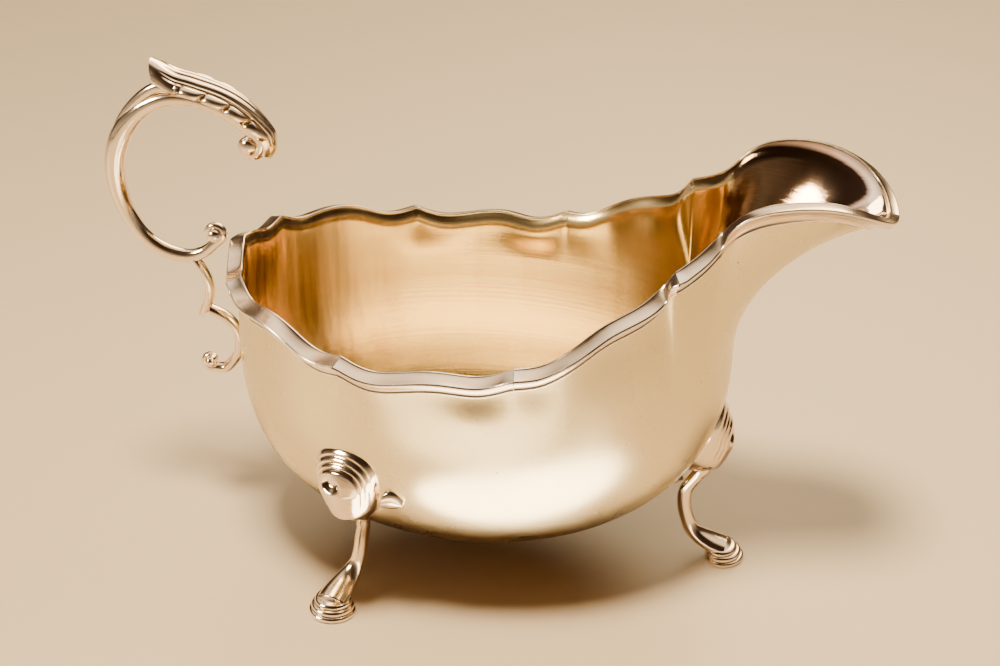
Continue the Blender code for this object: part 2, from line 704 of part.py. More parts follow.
def make_legs(tree, clearance):
    front_foot = np.array([BELLY_X + BELLY_FRONT + FRONT_FOOT_OUT, 0, 0])
    turn = math.radians(REAR_FOOT_ANGLE)
    reach = REAR_FOOT_OUT + 1 / math.hypot(math.cos(turn) / BELLY_BACK, math.sin(turn) / BELLY_HALF_WIDTH)
    rear_foot = np.array([BELLY_X + reach * math.cos(turn), reach * math.sin(turn), 0])
    placings = (
        ("front", 1, front_foot, 0.0, FRONT_SHANK, 0.0, FRONT_KNEE_RISE, 0.0),
        ("rear_right", 1, rear_foot, REAR_LEG_FACING, REAR_SHANK, REAR_KNEE_ANGLE, REAR_KNEE_RISE, KNEE_LEAN),
        ("rear_left", -1, rear_foot, REAR_LEG_FACING, REAR_SHANK, REAR_KNEE_ANGLE, REAR_KNEE_RISE, KNEE_LEAN),
    )
    for name, mirror, foot, facing, shank, knee_angle, knee_rise, lean in placings:
        height = BOTTOM_Z + (BELLY_Z - BOTTOM_Z) * knee_rise
        shank = np.array(shank) * (1, 1, height)
        leg, path = make_leg("leg_" + name, foot * (1, mirror, 1), facing * mirror, shank, mirror)
        boolean(leg, clearance, "DIFFERENCE")
        knee = Knee(tree, knee_angle * mirror, height, lean * mirror)
        shell, socket = make_knee("knee_" + name, tree, knee, path)
        boolean(shell, clearance, "DIFFERENCE")
        if name == "front":
            toward = -knee.upward
            root = knee.middle + toward * FRONT_TAB_DOWN
            size = (FRONT_TAB_LENGTH, FRONT_TAB_THICK)
        else:
            toward = unit(knee.across * mirror - knee.upward * 0.25)
            root = knee.middle + knee.across * mirror * REAR_TAB_OVER - knee.upward * REAR_TAB_DOWN
            size = (REAR_TAB_LENGTH, REAR_TAB_THICK)
        boolean(make_tab("tab_" + name, tree, root, toward, knee, *size), socket, "DIFFERENCE")


def centre_on_origin():
    """Moves the whole piece so that its overall box is centred over the origin, with the feet at z = 0."""
    graph = bpy.context.evaluated_depsgraph_get()
    corners = []
    for shape in bpy.data.objects:
        if not shape.hide_render:
            made = shape.evaluated_get(graph)
            corners += [made.matrix_world @ Vector(corner) for corner in made.bound_box]
    corners = np.array(corners)
    low, high = corners.min(axis=0), corners.max(axis=0)
    move = Matrix.Translation((-(low[0] + high[0]) / 2, -(low[1] + high[1]) / 2, -low[2]))
    for mesh in bpy.data.meshes:
        mesh.transform(move)


def main():
    for old in list(bpy.data.objects):
        bpy.data.objects.remove(old)
    for old in list(bpy.data.meshes):
        bpy.data.meshes.remove(old)
    rim = Rim()
    tree, clearance = make_bowl(rim)
    make_border(rim)
    datum = handle_datum(rim)
    path, radii = make_scroll(datum)
    make_leaf(path, radii)
    make_lower_scroll(datum, clearance)
    make_bracket(datum, path, radii)
    make_legs(tree, clearance)
    centre_on_origin()


main()
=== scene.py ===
"""A silver sauce boat for the camera: the same pieces as the solid model, with their chasing and polish.

Lengths are in millimetres until place() puts a piece into the shared frame. The spout points along +X.
"""

import math

import bmesh
import bpy
import numpy as np
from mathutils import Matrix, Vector
from mathutils.bvhtree import BVHTree


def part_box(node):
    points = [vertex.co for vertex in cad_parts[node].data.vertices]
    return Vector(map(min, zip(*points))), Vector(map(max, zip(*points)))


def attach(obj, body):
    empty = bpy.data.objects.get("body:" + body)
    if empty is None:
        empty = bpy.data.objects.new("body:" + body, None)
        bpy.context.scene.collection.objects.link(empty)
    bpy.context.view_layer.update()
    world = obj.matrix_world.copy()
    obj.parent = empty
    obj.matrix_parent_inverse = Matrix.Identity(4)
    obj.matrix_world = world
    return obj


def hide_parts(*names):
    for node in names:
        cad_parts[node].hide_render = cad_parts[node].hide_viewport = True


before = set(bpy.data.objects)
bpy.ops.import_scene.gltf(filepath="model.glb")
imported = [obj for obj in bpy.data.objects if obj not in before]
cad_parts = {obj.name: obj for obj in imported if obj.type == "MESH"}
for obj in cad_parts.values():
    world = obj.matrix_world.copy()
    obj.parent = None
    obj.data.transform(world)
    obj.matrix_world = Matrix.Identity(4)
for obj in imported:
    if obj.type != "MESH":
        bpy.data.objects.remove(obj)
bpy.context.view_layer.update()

MM = 0.001

# Bowl, as the solid model has it
BELLY_X = -2.1
BELLY_BACK = 56.7
BELLY_FRONT = 59.0
BELLY_HALF_WIDTH = 42.0
BELLY_Z = 56.0
BOTTOM_Z = 9.0
WALL = 1.0
FULLNESS_BACK = 2.65
FULLNESS_SIDE = 2.45
FULLNESS_FRONT = 2.35
WALL_HANDLE_TOP = 0.28
WALL_HANDLE_BELLY = 0.49
SPOUT_TURN = 75.5
SPOUT_SLIMNESS = 0.20
UPPER_RINGS = 30
LOWER_RINGS = 34

# Border
BORDER_WIDTH = 3.7
LIP_WIDTH = 2.3
BORDER_FALL = 0.33
BORDER_DEPTH = 4.4
MITRE_GAP = 0.05
RIM_BACK = ((-57.3, 0, 77.4), (-56.2, 5.0, 76.5), (-55.0, 10.5, 74.5), (-53.3, 16.3, 75.3))
RIM_REAR = (
    (-53.3, 16.3, 75.3), (-50.0, 20.8, 72.9), (-44.2, 26.6, 73.2),
    (-37.6, 31.4, 71.9), (-31.2, 34.9, 69.2), (-24.9, 38.2, 69.8),
)
RIM_SIDE = (
    (-24.9, 38.2, 69.8), (-18.8, 39.4, 67.7), (-11.0, 40.3, 68.4),
    (-3.5, 40.4, 69.2), (5.0, 39.3, 68.4), (12.5, 39.2, 70.8),
)
RIM_SHOULDER = (
    (12.5, 39.2, 70.8), (17.5, 37.8, 71.2), (23.5, 36.3, 74.4),
    (30.0, 32.6, 78.9), (37.5, 28.0, 82.3), (41.8, 24.6, 85.6), (44.2, 24.2, 88.8),
)
RIM_LIP = (
    (44.2, 24.2, 88.8), (48.6, 20.9, 91.4), (52.9, 17.6, 95.2), (58.2, 17.5, 100.3), (66.8, 17.2, 103.1),
    (76.0, 15.2, 102.7), (83.0, 12.2, 99.9), (86.8, 7.2, 96.7), (88.0, 0, 94.9),
)
RIM_SEGMENTS = {"back": 22, "rear": 36, "side": 36, "shoulder": 44, "lip": 66}
# The border's section: share of the flange's width outward, then millimetres above its slope.
FLANGE_SECTION = (
    (0.0, -0.55), (0.0, -0.20), (0.012, -0.06), (0.035, 0.03), (0.07, 0.05), (0.10, 0.02), (0.125, -0.03),
    (0.16, -0.06), (0.35, -0.09), (0.55, -0.09), (0.72, -0.06), (0.86, -0.01), (0.92, 0.02), (0.96, 0.0),
    (0.985, -0.08), (1.0, -0.24), (1.0, -0.55), (0.985, -0.78), (0.95, -0.95),
)
COVE_HOLLOW = 0.75
LIP_DEEPER = 0.9

# Handle, seen from the side: x from the border's back edge, z from the rim's back
BAR_CENTRE = (
    (-6.2, -5.0), (-9.6, -6.4), (-13.8, -6.2), (-18.2, -4.4), (-22.0, -0.8), (-25.0, 5.2), (-26.3, 12.2),
    (-25.4, 19.6), (-21.8, 26.4), (-16.0, 31.2), (-10.0, 33.0), (-4.0, 32.4), (1.2, 30.5), (5.6, 27.6),
)
BAR_RADIUS = (1.3, 1.5, 1.6, 1.6, 1.7, 2.0, 2.2, 2.3, 2.1, 1.75, 1.5, 1.45, 1.45, 1.4)
BAR_RIDGE = 1.12
BAR_FULLNESS = 1.1
RIM_VOLUTE = (-3.3, -0.2)
RIM_VOLUTE_RADIUS = 2.1
TOP_VOLUTE = (6.6, 22.8)
TOP_VOLUTE_RADIUS = 3.0
EYE_RADIUS = 1.9
EYE_HALF_WIDTH = 2.6
SPINE = ((-27.2, 19.0), (-24.6, 25.4), (-20.4, 30.6), (-16.6, 34.0), (-13.6, 35.4), (-11.0, 35.4))
SPINE_RADIUS = 1.35
LEAF_START = 2.8
LEAF_LENGTH = 26.8
# The leaf's sections: share of its length, half width, heights of its crown and edge, and gap below it
LEAF_SECTIONS = (
    (0.0, 2.4, 3.3, 0.9, 0.0), (0.15, 3.6, 5.0, 1.2, 0.4), (0.4, 4.8, 5.6, 2.0, 0.6),
    (0.7, 5.6, 5.8, 2.6, 0.8), (0.88, 5.6, 6.6, 3.0, 1.8), (1.0, 4.2, 10.2, 5.0, 5.4),
)
LEAF_LOBES = 4
LEAF_RIBS = 7
LOWER_SCROLL = ((-6.2, -20.4), (-3.4, -21.6), (-0.8, -23.8), (0.5, -28.0), (-0.5, -32.4), (-3.6, -36.3))
LOWER_SCROLL_RADIUS = 1.25
LOWER_VOLUTE = (-7.2, -34.6)
LOWER_VOLUTE_RADIUS = 1.9
BRACKET_BULGE = 1.7
BRACKET_RADIUS = 1.2
BRACKET_REACH = 9.2
SPUR = (-9.1, -22.3)

# Legs
FRONT_SHANK = (
    (-6.6, 0, 0.698), (-8.0, 0, 0.633), (-9.4, 0, 0.559), (-9.9, 0, 0.450), (-8.9, 0, 0.302),
    (-6.6, 0, 0.184), (-3.2, 0, 0.124), (0.3, 0, 0.086),
)
REAR_SHANK = (
    (-7.0, 5.2, 0.667), (-7.9, 4.8, 0.593), (-9.1, 3.8, 0.481), (-9.5, 3.0, 0.368), (-8.9, 2.1, 0.240),
    (-6.5, 1.0, 0.158), (-3.2, 0.3, 0.113), (0.3, 0, 0.082),
)
SHANK_RADIUS = 1.7
FOOT_HALF_WIDTH = 5.6
FOOT_HALF_LENGTH = 5.3
# The foot's outline: share of its full reach, and height
FOOT_BANDS = (
    (0.90, 0.0), (0.97, 0.08), (1.0, 0.3), (1.0, 0.8), (0.975, 1.12), (0.93, 1.25), (0.90, 1.3),
    (0.91, 1.42), (0.92, 1.6), (0.915, 2.05), (0.885, 2.35), (0.83, 2.5), (0.79, 2.55), (0.80, 2.7),
    (0.80, 2.9), (0.785, 3.25), (0.74, 3.55), (0.68, 3.68), (0.64, 3.72), (0.58, 4.0), (0.46, 4.5),
    (0.28, 4.9), (0.1, 5.0),
)
FRONT_FOOT_OUT = 0.9
REAR_FOOT_ANGLE = 232.5
REAR_FOOT_OUT = 0.5
REAR_LEG_FACING = 257.0
FRONT_KNEE_RISE = 0.5277
REAR_KNEE_RISE = 0.5617
REAR_KNEE_ANGLE = 237.6
KNEE_LEAN = 5.0
KNEE_HALF_LENGTH = 10.2
KNEE_HALF_WIDTH = 9.3
KNEE_EDGE = 0.9
KNEE_BOSS = 6.2
KNEE_RIB_START = 0.68
KNEE_RIB_PITCH = 0.107
KNEE_RIB_DEPTH = 0.62
KNEE_RIB_SINK = 0.4
DIMPLE_PLACE = (-0.14, 0.38)
DIMPLE_HALF_SIZE = (0.30, 0.15)
DIMPLE_DEPTH = 1.5
KNEE_PROFILE = ((-1.0, -0.45, 0.2, 0.7, 1.0), (0.45, 1.0, 0.9, 0.45, 0.1))
FRONT_TAB_LENGTH = 6.5
REAR_TAB_LENGTH = 4.4
TAB_HALF_WIDTH = 3.0
FRONT_TAB_THICK = 3.4
REAR_TAB_THICK = 2.0
FRONT_TAB_DOWN = 13.4
REAR_TAB_OVER = 8.3
REAR_TAB_DOWN = 2.6

LEVEL = (0, 1, 0)
MERGE_WITHIN = 1e-7

# The solid bowl's back is where its belly oval ends, which gives the shared frame's shift
SHIFT = np.array([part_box("bowl")[0].x / MM - (BELLY_X - BELLY_BACK), 0.0, 0.0])


def place(point):
    return tuple((np.asarray(point, float) + SHIFT) * MM)


def unit(vector):
    return vector / np.linalg.norm(vector)


def lengths_along(points):
    """The length of the line from its start to each of its points."""
    return np.r_[0, np.cumsum(np.linalg.norm(np.diff(points, axis=0), axis=1))]


def smooth_curve(points, segments):
    """Points along a natural cubic spline through the given ones, ends included."""
    points = np.array(points, float)
    knots = lengths_along(points)
    step = np.diff(knots)
    count = len(points)
    matrix = np.eye(count)
    right = np.zeros_like(points)
    for i in range(1, count - 1):
        matrix[i, i - 1 : i + 2] = step[i - 1], 2 * (step[i - 1] + step[i]), step[i]
        right[i] = 6 * ((points[i + 1] - points[i]) / step[i] - (points[i] - points[i - 1]) / step[i - 1])
    bend = np.linalg.solve(matrix, right)
    made = []
    for at in np.linspace(0, knots[-1], segments + 1):
        i = min(int(np.searchsorted(knots, at, side="right")) - 1, count - 2)
        a = (knots[i + 1] - at) / step[i]
        b = 1 - a
        curved = ((a**3 - a) * bend[i] + (b**3 - b) * bend[i + 1]) * step[i] ** 2 / 6
        made.append(a * points[i] + b * points[i + 1] + curved)
    return np.array(made)


def hump(x, centre, half):
    """A smooth rise to 1 at the centre that ends half to each side."""
    return max(0.0, 1 - ((x - centre) / half) ** 2) ** 2


def ease(x, low, high):
    """A smooth rise from 0 to 1 between low and high."""
    t = min(max((x - low) / (high - low), 0.0), 1.0)
    return t * t * (3 - 2 * t)


# ---------------------------------------------------------------- finishes


def new_node(tree, kind, **settings):
    made = tree.nodes.new(kind)
    for name, value in settings.items():
        setattr(made, name, value)
    return made


def colour_ramp(tree, value, *stops):
    made = new_node(tree, "ShaderNodeValToRGB")
    band = made.color_ramp
    while len(band.elements) < len(stops):
        band.elements.new(0.5)
    for element, (at, colour) in zip(band.elements, stops):
        element.position = at
        element.color = (*colour, 1.0)
    tree.links.new(value, made.inputs["Fac"])
    return made.outputs["Color"]


class Finish:
    """A silver finish: its nodes are added one by one to the surface's shader."""

    def __init__(self, name):
        self.made = bpy.data.materials.new(name)
        self.made.use_nodes = True
        self.tree = self.made.node_tree
        self.shader = self.tree.nodes["Principled BSDF"]
        self.shader.inputs["Metallic"].default_value = 1.0
        self.place = self.node("ShaderNodeTexCoord").outputs["Object"]

    def node(self, kind, **settings):
        return new_node(self.tree, kind, **settings)

    def link(self, a, b):
        self.tree.links.new(a, b)

    def stretched(self, scale):
        mapping = self.node("ShaderNodeMapping")
        mapping.inputs["Scale"].default_value = scale
        self.link(self.place, mapping.inputs["Vector"])
        return mapping.outputs["Vector"]

    def noise(self, scale, detail=3.0, stretch=None, roughness=0.5):
        made = self.node("ShaderNodeTexNoise")
        made.inputs["Scale"].default_value = scale
        made.inputs["Detail"].default_value = detail
        made.inputs["Roughness"].default_value = roughness
        self.link(self.stretched(stretch) if stretch else self.place, made.inputs["Vector"])
        return made.outputs["Fac"]

    def ramp(self, value, *stops):
        return colour_ramp(self.tree, value, *stops)

    def mix(self, share, a, b, blend="MIX"):
        made = self.node("ShaderNodeMix", data_type="RGBA", blend_type=blend)
        if isinstance(share, float):
            made.inputs[0].default_value = share
        else:
            self.link(share, made.inputs[0])
        self.link(a, made.inputs[6])
        self.link(b, made.inputs[7])
        return made.outputs[2]

    def span(self, value, low, high, from_low=0.3, from_high=0.7):
        made = self.node("ShaderNodeMapRange")
        self.link(value, made.inputs["Value"])
        made.inputs["From Min"].default_value = from_low
        made.inputs["From Max"].default_value = from_high
        made.inputs["To Min"].default_value = low
        made.inputs["To Max"].default_value = high
        return made.outputs["Result"]

    def bumps(self, *layers):
        """Height layers over one another, each with its depth in millimetres."""
        last = None
        for value, depth in layers:
            bump = self.node("ShaderNodeBump")
            bump.inputs["Strength"].default_value = 1.0
            bump.inputs["Distance"].default_value = depth * MM
            self.link(value, bump.inputs["Height"])
            if last:
                self.link(last, bump.inputs["Normal"])
            last = bump.outputs["Normal"]
        self.link(last, self.shader.inputs["Normal"])


def polished_silver(name, light, warm, dark, rough):
    """Cast and soldered parts: bright on the crests, with patina left in the hollows."""
    finish = Finish(name)
    patches = finish.ramp(finish.noise(55, 4), (0.35, light), (0.7, warm))
    crest = finish.node("ShaderNodeNewGeometry").outputs["Pointiness"]
    hollows = finish.ramp(crest, (0.40, dark), (0.475, warm), (0.53, (1.0, 1.0, 1.0)))
    tint = finish.mix(1.0, patches, hollows, "MULTIPLY")
    finish.link(tint, finish.shader.inputs["Base Color"])
    finish.link(finish.span(finish.noise(140, 5), rough, rough + 0.12), finish.shader.inputs["Roughness"])
    finish.bumps((finish.noise(900, 3), 0.010), (finish.noise(160, 2), 0.03))
    return finish.made


def satin_silver(name):
    """The bowl's outside: hand-finished, with faint long wear marks round it and painted shade along its
    bottom edge.
    """
    finish = Finish(name)
    clouds = finish.ramp(finish.noise(26, 4), (0.3, (0.84, 0.72, 0.43)), (0.7, (0.79, 0.66, 0.38)))
    specks = finish.ramp(finish.noise(620, 2), (0.20, (0.30, 0.22, 0.15)), (0.24, (1.0, 1.0, 1.0)))
    where = finish.node("ShaderNodeSeparateXYZ")
    finish.link(finish.place, where.inputs["Vector"])
    # Painted shade: below about 27 mm the base colour darkens to dark brown, standing in for the shadow under
    # the bowl seen in its bottom edge.
    height = finish.span(where.outputs["Z"], 0.0, 1.0, 0.0215, 0.0275)
    painted_bottom_shade = finish.ramp(height, (0.0, (0.22, 0.15, 0.09)), (1.0, (1.0, 1.0, 1.0)))
    marked = finish.mix(1.0, clouds, specks, "MULTIPLY")
    finish.link(finish.mix(1.0, marked, painted_bottom_shade, "MULTIPLY"), finish.shader.inputs["Base Color"])
    finish.link(finish.span(finish.noise(70, 6), 0.24, 0.33), finish.shader.inputs["Roughness"])
    rounds = finish.noise(60, 5, (0.4, 0.4, 16))
    finish.bumps((finish.noise(1500, 2), 0.006), (rounds, 0.010))
    return finish.made


def inside_wear_and_painted_reflections(name):
    """The bowl's inside: a golden tone painted in for the warm room it reflects, fine level brush marks,
    painted darker reflection streaks by the handle, and a painted dark reflection in the spout that pales
    towards the tip.
    """
    finish = Finish(name)
    level = finish.noise(30, 6, (0.5, 1.0, 55), 0.65)
    # Painted reflection: the warm golden tone stands in for the warm room reflected inside; the brush marks
    # vary it.
    brushed_warm_reflection = finish.ramp(level, (0.30, (0.90, 0.70, 0.35)), (0.70, (0.97, 0.80, 0.46)))
    streaks = finish.noise(34, 4, (7, 7, 0.4), 0.55)
    where = finish.node("ShaderNodeSeparateXYZ")
    finish.link(finish.place, where.inputs["Vector"])
    # Painted reflection: darker brown streaks towards the handle end.
    by_handle = finish.span(where.outputs["X"], 1.0, 0.0, -0.052, -0.026)
    soft = finish.ramp(streaks, (0.32, (0.36, 0.27, 0.19)), (0.60, (0.84, 0.75, 0.66)))
    plain = finish.ramp(streaks, (0.30, (0.93, 0.91, 0.88)), (0.65, (1.0, 1.0, 1.0)))
    shade = finish.mix(by_handle, plain, soft)
    brushed_and_reflected = finish.mix(1.0, brushed_warm_reflection, shade, "MULTIPLY")
    # Painted reflection: the spout's inside is dark brown, paling to pinkish near the tip, standing in for
    # the dark room reflected there.
    edge = finish.node("ShaderNodeMath")
    edge.operation = "MULTIPLY_ADD"
    edge.inputs[1].default_value = 0.010
    finish.link(finish.noise(110, 4), edge.inputs[0])
    finish.link(where.outputs["X"], edge.inputs[2])
    along = finish.span(edge.outputs["Value"], 0.0, 1.0, 0.055, 0.095)
    painted_spout_reflection = finish.ramp(
        along, (0.0, (0.15, 0.095, 0.055)), (0.28, (0.20, 0.125, 0.075)), (0.55, (0.48, 0.30, 0.19)),
        (0.76, (0.74, 0.55, 0.43)), (0.84, (0.95, 0.82, 0.70)),
    )
    in_spout = finish.span(edge.outputs["Value"], 0.0, 1.0, 0.0555, 0.0585)
    finish.link(finish.mix(in_spout, brushed_and_reflected, painted_spout_reflection), finish.shader.inputs["Base Color"])
    finish.link(finish.span(where.outputs["X"], 0.24, 0.10, 0.030, 0.046), finish.shader.inputs["Roughness"])
    finish.bumps((level, 0.022), (streaks, 0.03), (finish.noise(900, 3), 0.003))
    return finish.made


# Light and warm silver, and the dark left in the hollows
CREST = ((0.96, 0.86, 0.73), (0.91, 0.77, 0.60), (0.28, 0.18, 0.10))
BOWL_OUTSIDE = satin_silver("bowl_outside_satin")
BOWL_INSIDE = inside_wear_and_painted_reflections("bowl_inside_golden")
BORDER_SILVER = polished_silver(
    "border_silver", (1.0, 0.92, 0.80), (0.95, 0.83, 0.69), (0.32, 0.20, 0.13), 0.13
)
HANDLE_SILVER = polished_silver("handle_silver", *CREST, 0.09)
LEAF_SILVER = polished_silver("leaf_silver", *CREST, 0.14)
KNEE_SILVER = polished_silver("knee_silver", *CREST, 0.06)
LEG_SILVER = polished_silver("leg_silver", *CREST, 0.08)


# ---------------------------------------------------------------- making pieces


def mended(mesh, crease=50):
    """The mesh with doubled points merged, its faces outwards, and edges past the crease angle kept sharp."""
    shape = bmesh.new()
    shape.from_mesh(mesh)
    bmesh.ops.remove_doubles(shape, verts=shape.verts, dist=MERGE_WITHIN)
    bmesh.ops.recalc_face_normals(shape, faces=shape.faces)
    shape.to_mesh(mesh)
    shape.free()
    mesh.shade_smooth()
    mesh.set_sharp_from_angle(angle=math.radians(crease))
    return mesh


def mesh_of(name, points, faces, crease=50):
    """A closed mesh from points in millimetres."""
    mesh = bpy.data.meshes.new(name)
    mesh.from_pydata([place(p) for p in points], [], faces)
    return mended(mesh, crease)


def joined(name, meshes):
    """One mesh holding the given ones."""
    shape = bmesh.new()
    for mesh in meshes:
        shape.from_mesh(mesh)
    made = bpy.data.meshes.new(name)
    shape.to_mesh(made)
    shape.free()
    return made


def finished_piece(name, mesh, finishes, node):
    """An object for the mesh that stands for a solid node and moves with the body."""
    mesh.materials.clear()
    for finish in finishes:
        mesh.materials.append(finish)
    made = bpy.data.objects.new(name, mesh)
    bpy.context.scene.collection.objects.link(made)
    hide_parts(node)
    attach(made, "root")
    return made


def ring_faces(first, second, count):
    return [
        (first + i, first + (i + 1) % count, second + (i + 1) % count, second + i) for i in range(count)
    ]


def loft(rings):
    """Points and faces of a solid through rings of the same number of points, with closed ends."""
    count = len(rings[0])
    points = [p for ring in rings for p in ring]
    faces = []
    for k in range(len(rings) - 1):
        faces += ring_faces(k * count, (k + 1) * count, count)
    for k, turn in ((0, 1), (len(rings) - 1, -1)):
        points.append(np.mean(rings[k], axis=0))
        fan = [(k * count + i, k * count + (i + 1) % count, len(points) - 1) for i in range(count)]
        faces += [face[::turn] for face in fan]
    return points, faces


# ---------------------------------------------------------------- a bar along a path


def bar_tree():
    """Sweeps an oval along the incoming line, with a half thickness and a side direction at each point."""
    tree = bpy.data.node_groups.new("silver_bar", "GeometryNodeTree")
    face = tree.interface
    face.new_socket("Geometry", in_out="INPUT", socket_type="NodeSocketGeometry")
    around = face.new_socket("Points Around", in_out="INPUT", socket_type="NodeSocketInt")
    wide = face.new_socket("Width By Thickness", in_out="INPUT", socket_type="NodeSocketFloat")
    finish = face.new_socket("Finish", in_out="INPUT", socket_type="NodeSocketMaterial")
    face.new_socket("Geometry", in_out="OUTPUT", socket_type="NodeSocketGeometry")

    def node(kind, **settings):
        return new_node(tree, kind, **settings)

    given = node("NodeGroupInput")
    to_curve = node("GeometryNodeMeshToCurve")
    side = node("GeometryNodeInputNamedAttribute", data_type="FLOAT_VECTOR")
    side.inputs["Name"].default_value = "bar_side"
    half = node("GeometryNodeInputNamedAttribute", data_type="FLOAT")
    half.inputs["Name"].default_value = "bar_half_thickness"
    normal = node("GeometryNodeSetCurveNormal", mode="FREE")
    circle = node("GeometryNodeCurvePrimitiveCircle", mode="RADIUS")
    circle.inputs["Radius"].default_value = 1.0
    stretch = node("ShaderNodeCombineXYZ")
    stretch.inputs["Y"].default_value = 1.0
    stretch.inputs["Z"].default_value = 1.0
    oval = node("GeometryNodeTransform")
    sweep = node("GeometryNodeCurveToMesh")
    sweep.inputs["Fill Caps"].default_value = True
    smooth = node("GeometryNodeSetShadeSmooth")
    real = node("GeometryNodeRealizeInstances")
    paint = node("GeometryNodeSetMaterial")
    out = node("NodeGroupOutput")
    for a, b in (
        (given.outputs[0], to_curve.inputs["Mesh"]),
        (to_curve.outputs[0], normal.inputs["Curve"]),
        (side.outputs[0], normal.inputs["Normal"]),
        (given.outputs[1], circle.inputs["Resolution"]),
        (given.outputs[2], stretch.inputs["X"]),
        (circle.outputs[0], oval.inputs["Geometry"]),
        (stretch.outputs[0], oval.inputs["Scale"]),
        (normal.outputs[0], sweep.inputs["Curve"]),
        (oval.outputs[0], sweep.inputs["Profile Curve"]),
        (half.outputs[0], sweep.inputs["Scale"]),
        (sweep.outputs[0], smooth.inputs["Geometry"]),
        (smooth.outputs[0], real.inputs["Geometry"]),
        (real.outputs[0], paint.inputs["Geometry"]),
        (given.outputs[3], paint.inputs["Material"]),
        (paint.outputs[0], out.inputs[0]),
    ):
        tree.links.new(a, b)
    return tree, (around.identifier, wide.identifier, finish.identifier)


BAR_TREE, BAR_INPUTS = bar_tree()


def bar_mesh(name, path, halves, side, width, finish, around=28):
    """A bar's mesh along a path in millimetres, with a half thickness at each point."""
    path = [place(p) for p in path]
    line = bpy.data.meshes.new(name + "_line")
    line.from_pydata(path, [(i, i + 1) for i in range(len(path) - 1)], [])
    sides = np.broadcast_to(np.asarray(side, float), (len(path), 3))
    line.attributes.new("bar_side", "FLOAT_VECTOR", "POINT").data.foreach_set("vector", sides.ravel())
    thick = np.broadcast_to(np.asarray(halves, float), len(path)) * MM
    line.attributes.new("bar_half_thickness", "FLOAT", "POINT").data.foreach_set("value", thick)
    holder = bpy.data.objects.new(name + "_holder", line)
    bpy.context.scene.collection.objects.link(holder)
    change = holder.modifiers.new("bar", "NODES")
    change.node_group = BAR_TREE
    for key, value in zip(BAR_INPUTS, (around, width, finish)):
        change[key] = value
    graph = bpy.context.evaluated_depsgraph_get()
    made = bpy.data.meshes.new_from_object(holder.evaluated_get(graph))
    bpy.data.objects.remove(holder)
    return mended(made)


# ---------------------------------------------------------------- rim and bowl


def rim_half():
    """The rim's left half from the back to the lip's tip, and where each length of it starts and ends."""
    curves = {
        "back": RIM_BACK, "rear": RIM_REAR, "side": RIM_SIDE, "shoulder": RIM_SHOULDER, "lip": RIM_LIP,
    }
    points = []
    ends = {}
    for name, curve in curves.items():
        run = smooth_curve(curve, RIM_SEGMENTS[name])
        first = max(len(points) - 1, 0)
        points += list(run if not points else run[1:])
        ends[name] = (first, len(points) - 1)
    return np.array(points), ends


def whole_ring(half, flip):
    """The half and its mirror image as one closed ring."""
    return np.concatenate([half, half[-2:0:-1] * flip])


def outward(points):
    """Level directions square to the rim in plan, the mitre's at each cusp."""
    made = []
    for here, ahead, behind in zip(points, np.roll(points, -1, axis=0), np.roll(points, 1, axis=0)):
        along_a = unit((here - behind)[:2])
        along_b = unit((ahead - here)[:2])
        side_a = np.array([-along_a[1], along_a[0]])
        side_b = np.array([-along_b[1], along_b[0]])
        mitre = (side_a + side_b) / (1 + side_a @ side_b)
        made.append((mitre[0], mitre[1], 0.0))
    return np.array(made)


class Rim:
    """The rim's ring of stations: the inner line, its directions, and the wall under the border."""

    def __init__(self):
        half, self.ends = rim_half()
        self.half_count = len(half)
        self.inner = whole_ring(half, np.array([1, -1, 1]))
        self.count = len(self.inner)
        self.out = outward(self.inner)
        first, last = self.ends["lip"]
        lip = np.linalg.norm(np.diff(half[first : last + 1], axis=0), axis=1)
        share = np.zeros(len(half))
        share[first : last + 1] = np.r_[0, np.cumsum(lip)] / lip.sum()
        self.lip_share = whole_ring(share[:, None], 1)[:, 0]
        lean = np.radians(SPOUT_TURN) * self.lip_share**1.72
        self.down = -self.out * np.sin(lean)[:, None] - np.outer(np.cos(lean), (0, 0, 1))
        self.thick = self.out * np.cos(lean)[:, None] - np.outer(np.sin(lean), (0, 0, 1))
        self.width = BORDER_WIDTH + (LIP_WIDTH - BORDER_WIDTH) * np.minimum(self.lip_share / 0.35, 1)
        self.wall_top = self.inner + self.down * 0.5 + self.thick * WALL
        self.wall_foot = self.inner + self.down * BORDER_DEPTH + self.thick * WALL

    def belly_angles(self):
        made = np.empty(self.count)
        half = self.half_count
        start = self.ends["lip"][0]
        for i in range(half):
            x, y, _ = self.inner[i]
            reach = BELLY_BACK if x < BELLY_X else BELLY_FRONT
            made[i] = math.atan2(y / BELLY_HALF_WIDTH, (x - BELLY_X) / reach)
        for i in range(start, half):
            made[i] = made[start] * (1 - self.lip_share[i])
        for i in range(half, self.count):
            made[i] = -made[self.count - i]
        return made


def belly_point(angle):
    reach = BELLY_BACK if math.cos(angle) < 0 else BELLY_FRONT
    return np.array([BELLY_X + reach * math.cos(angle), BELLY_HALF_WIDTH * math.sin(angle), BELLY_Z])


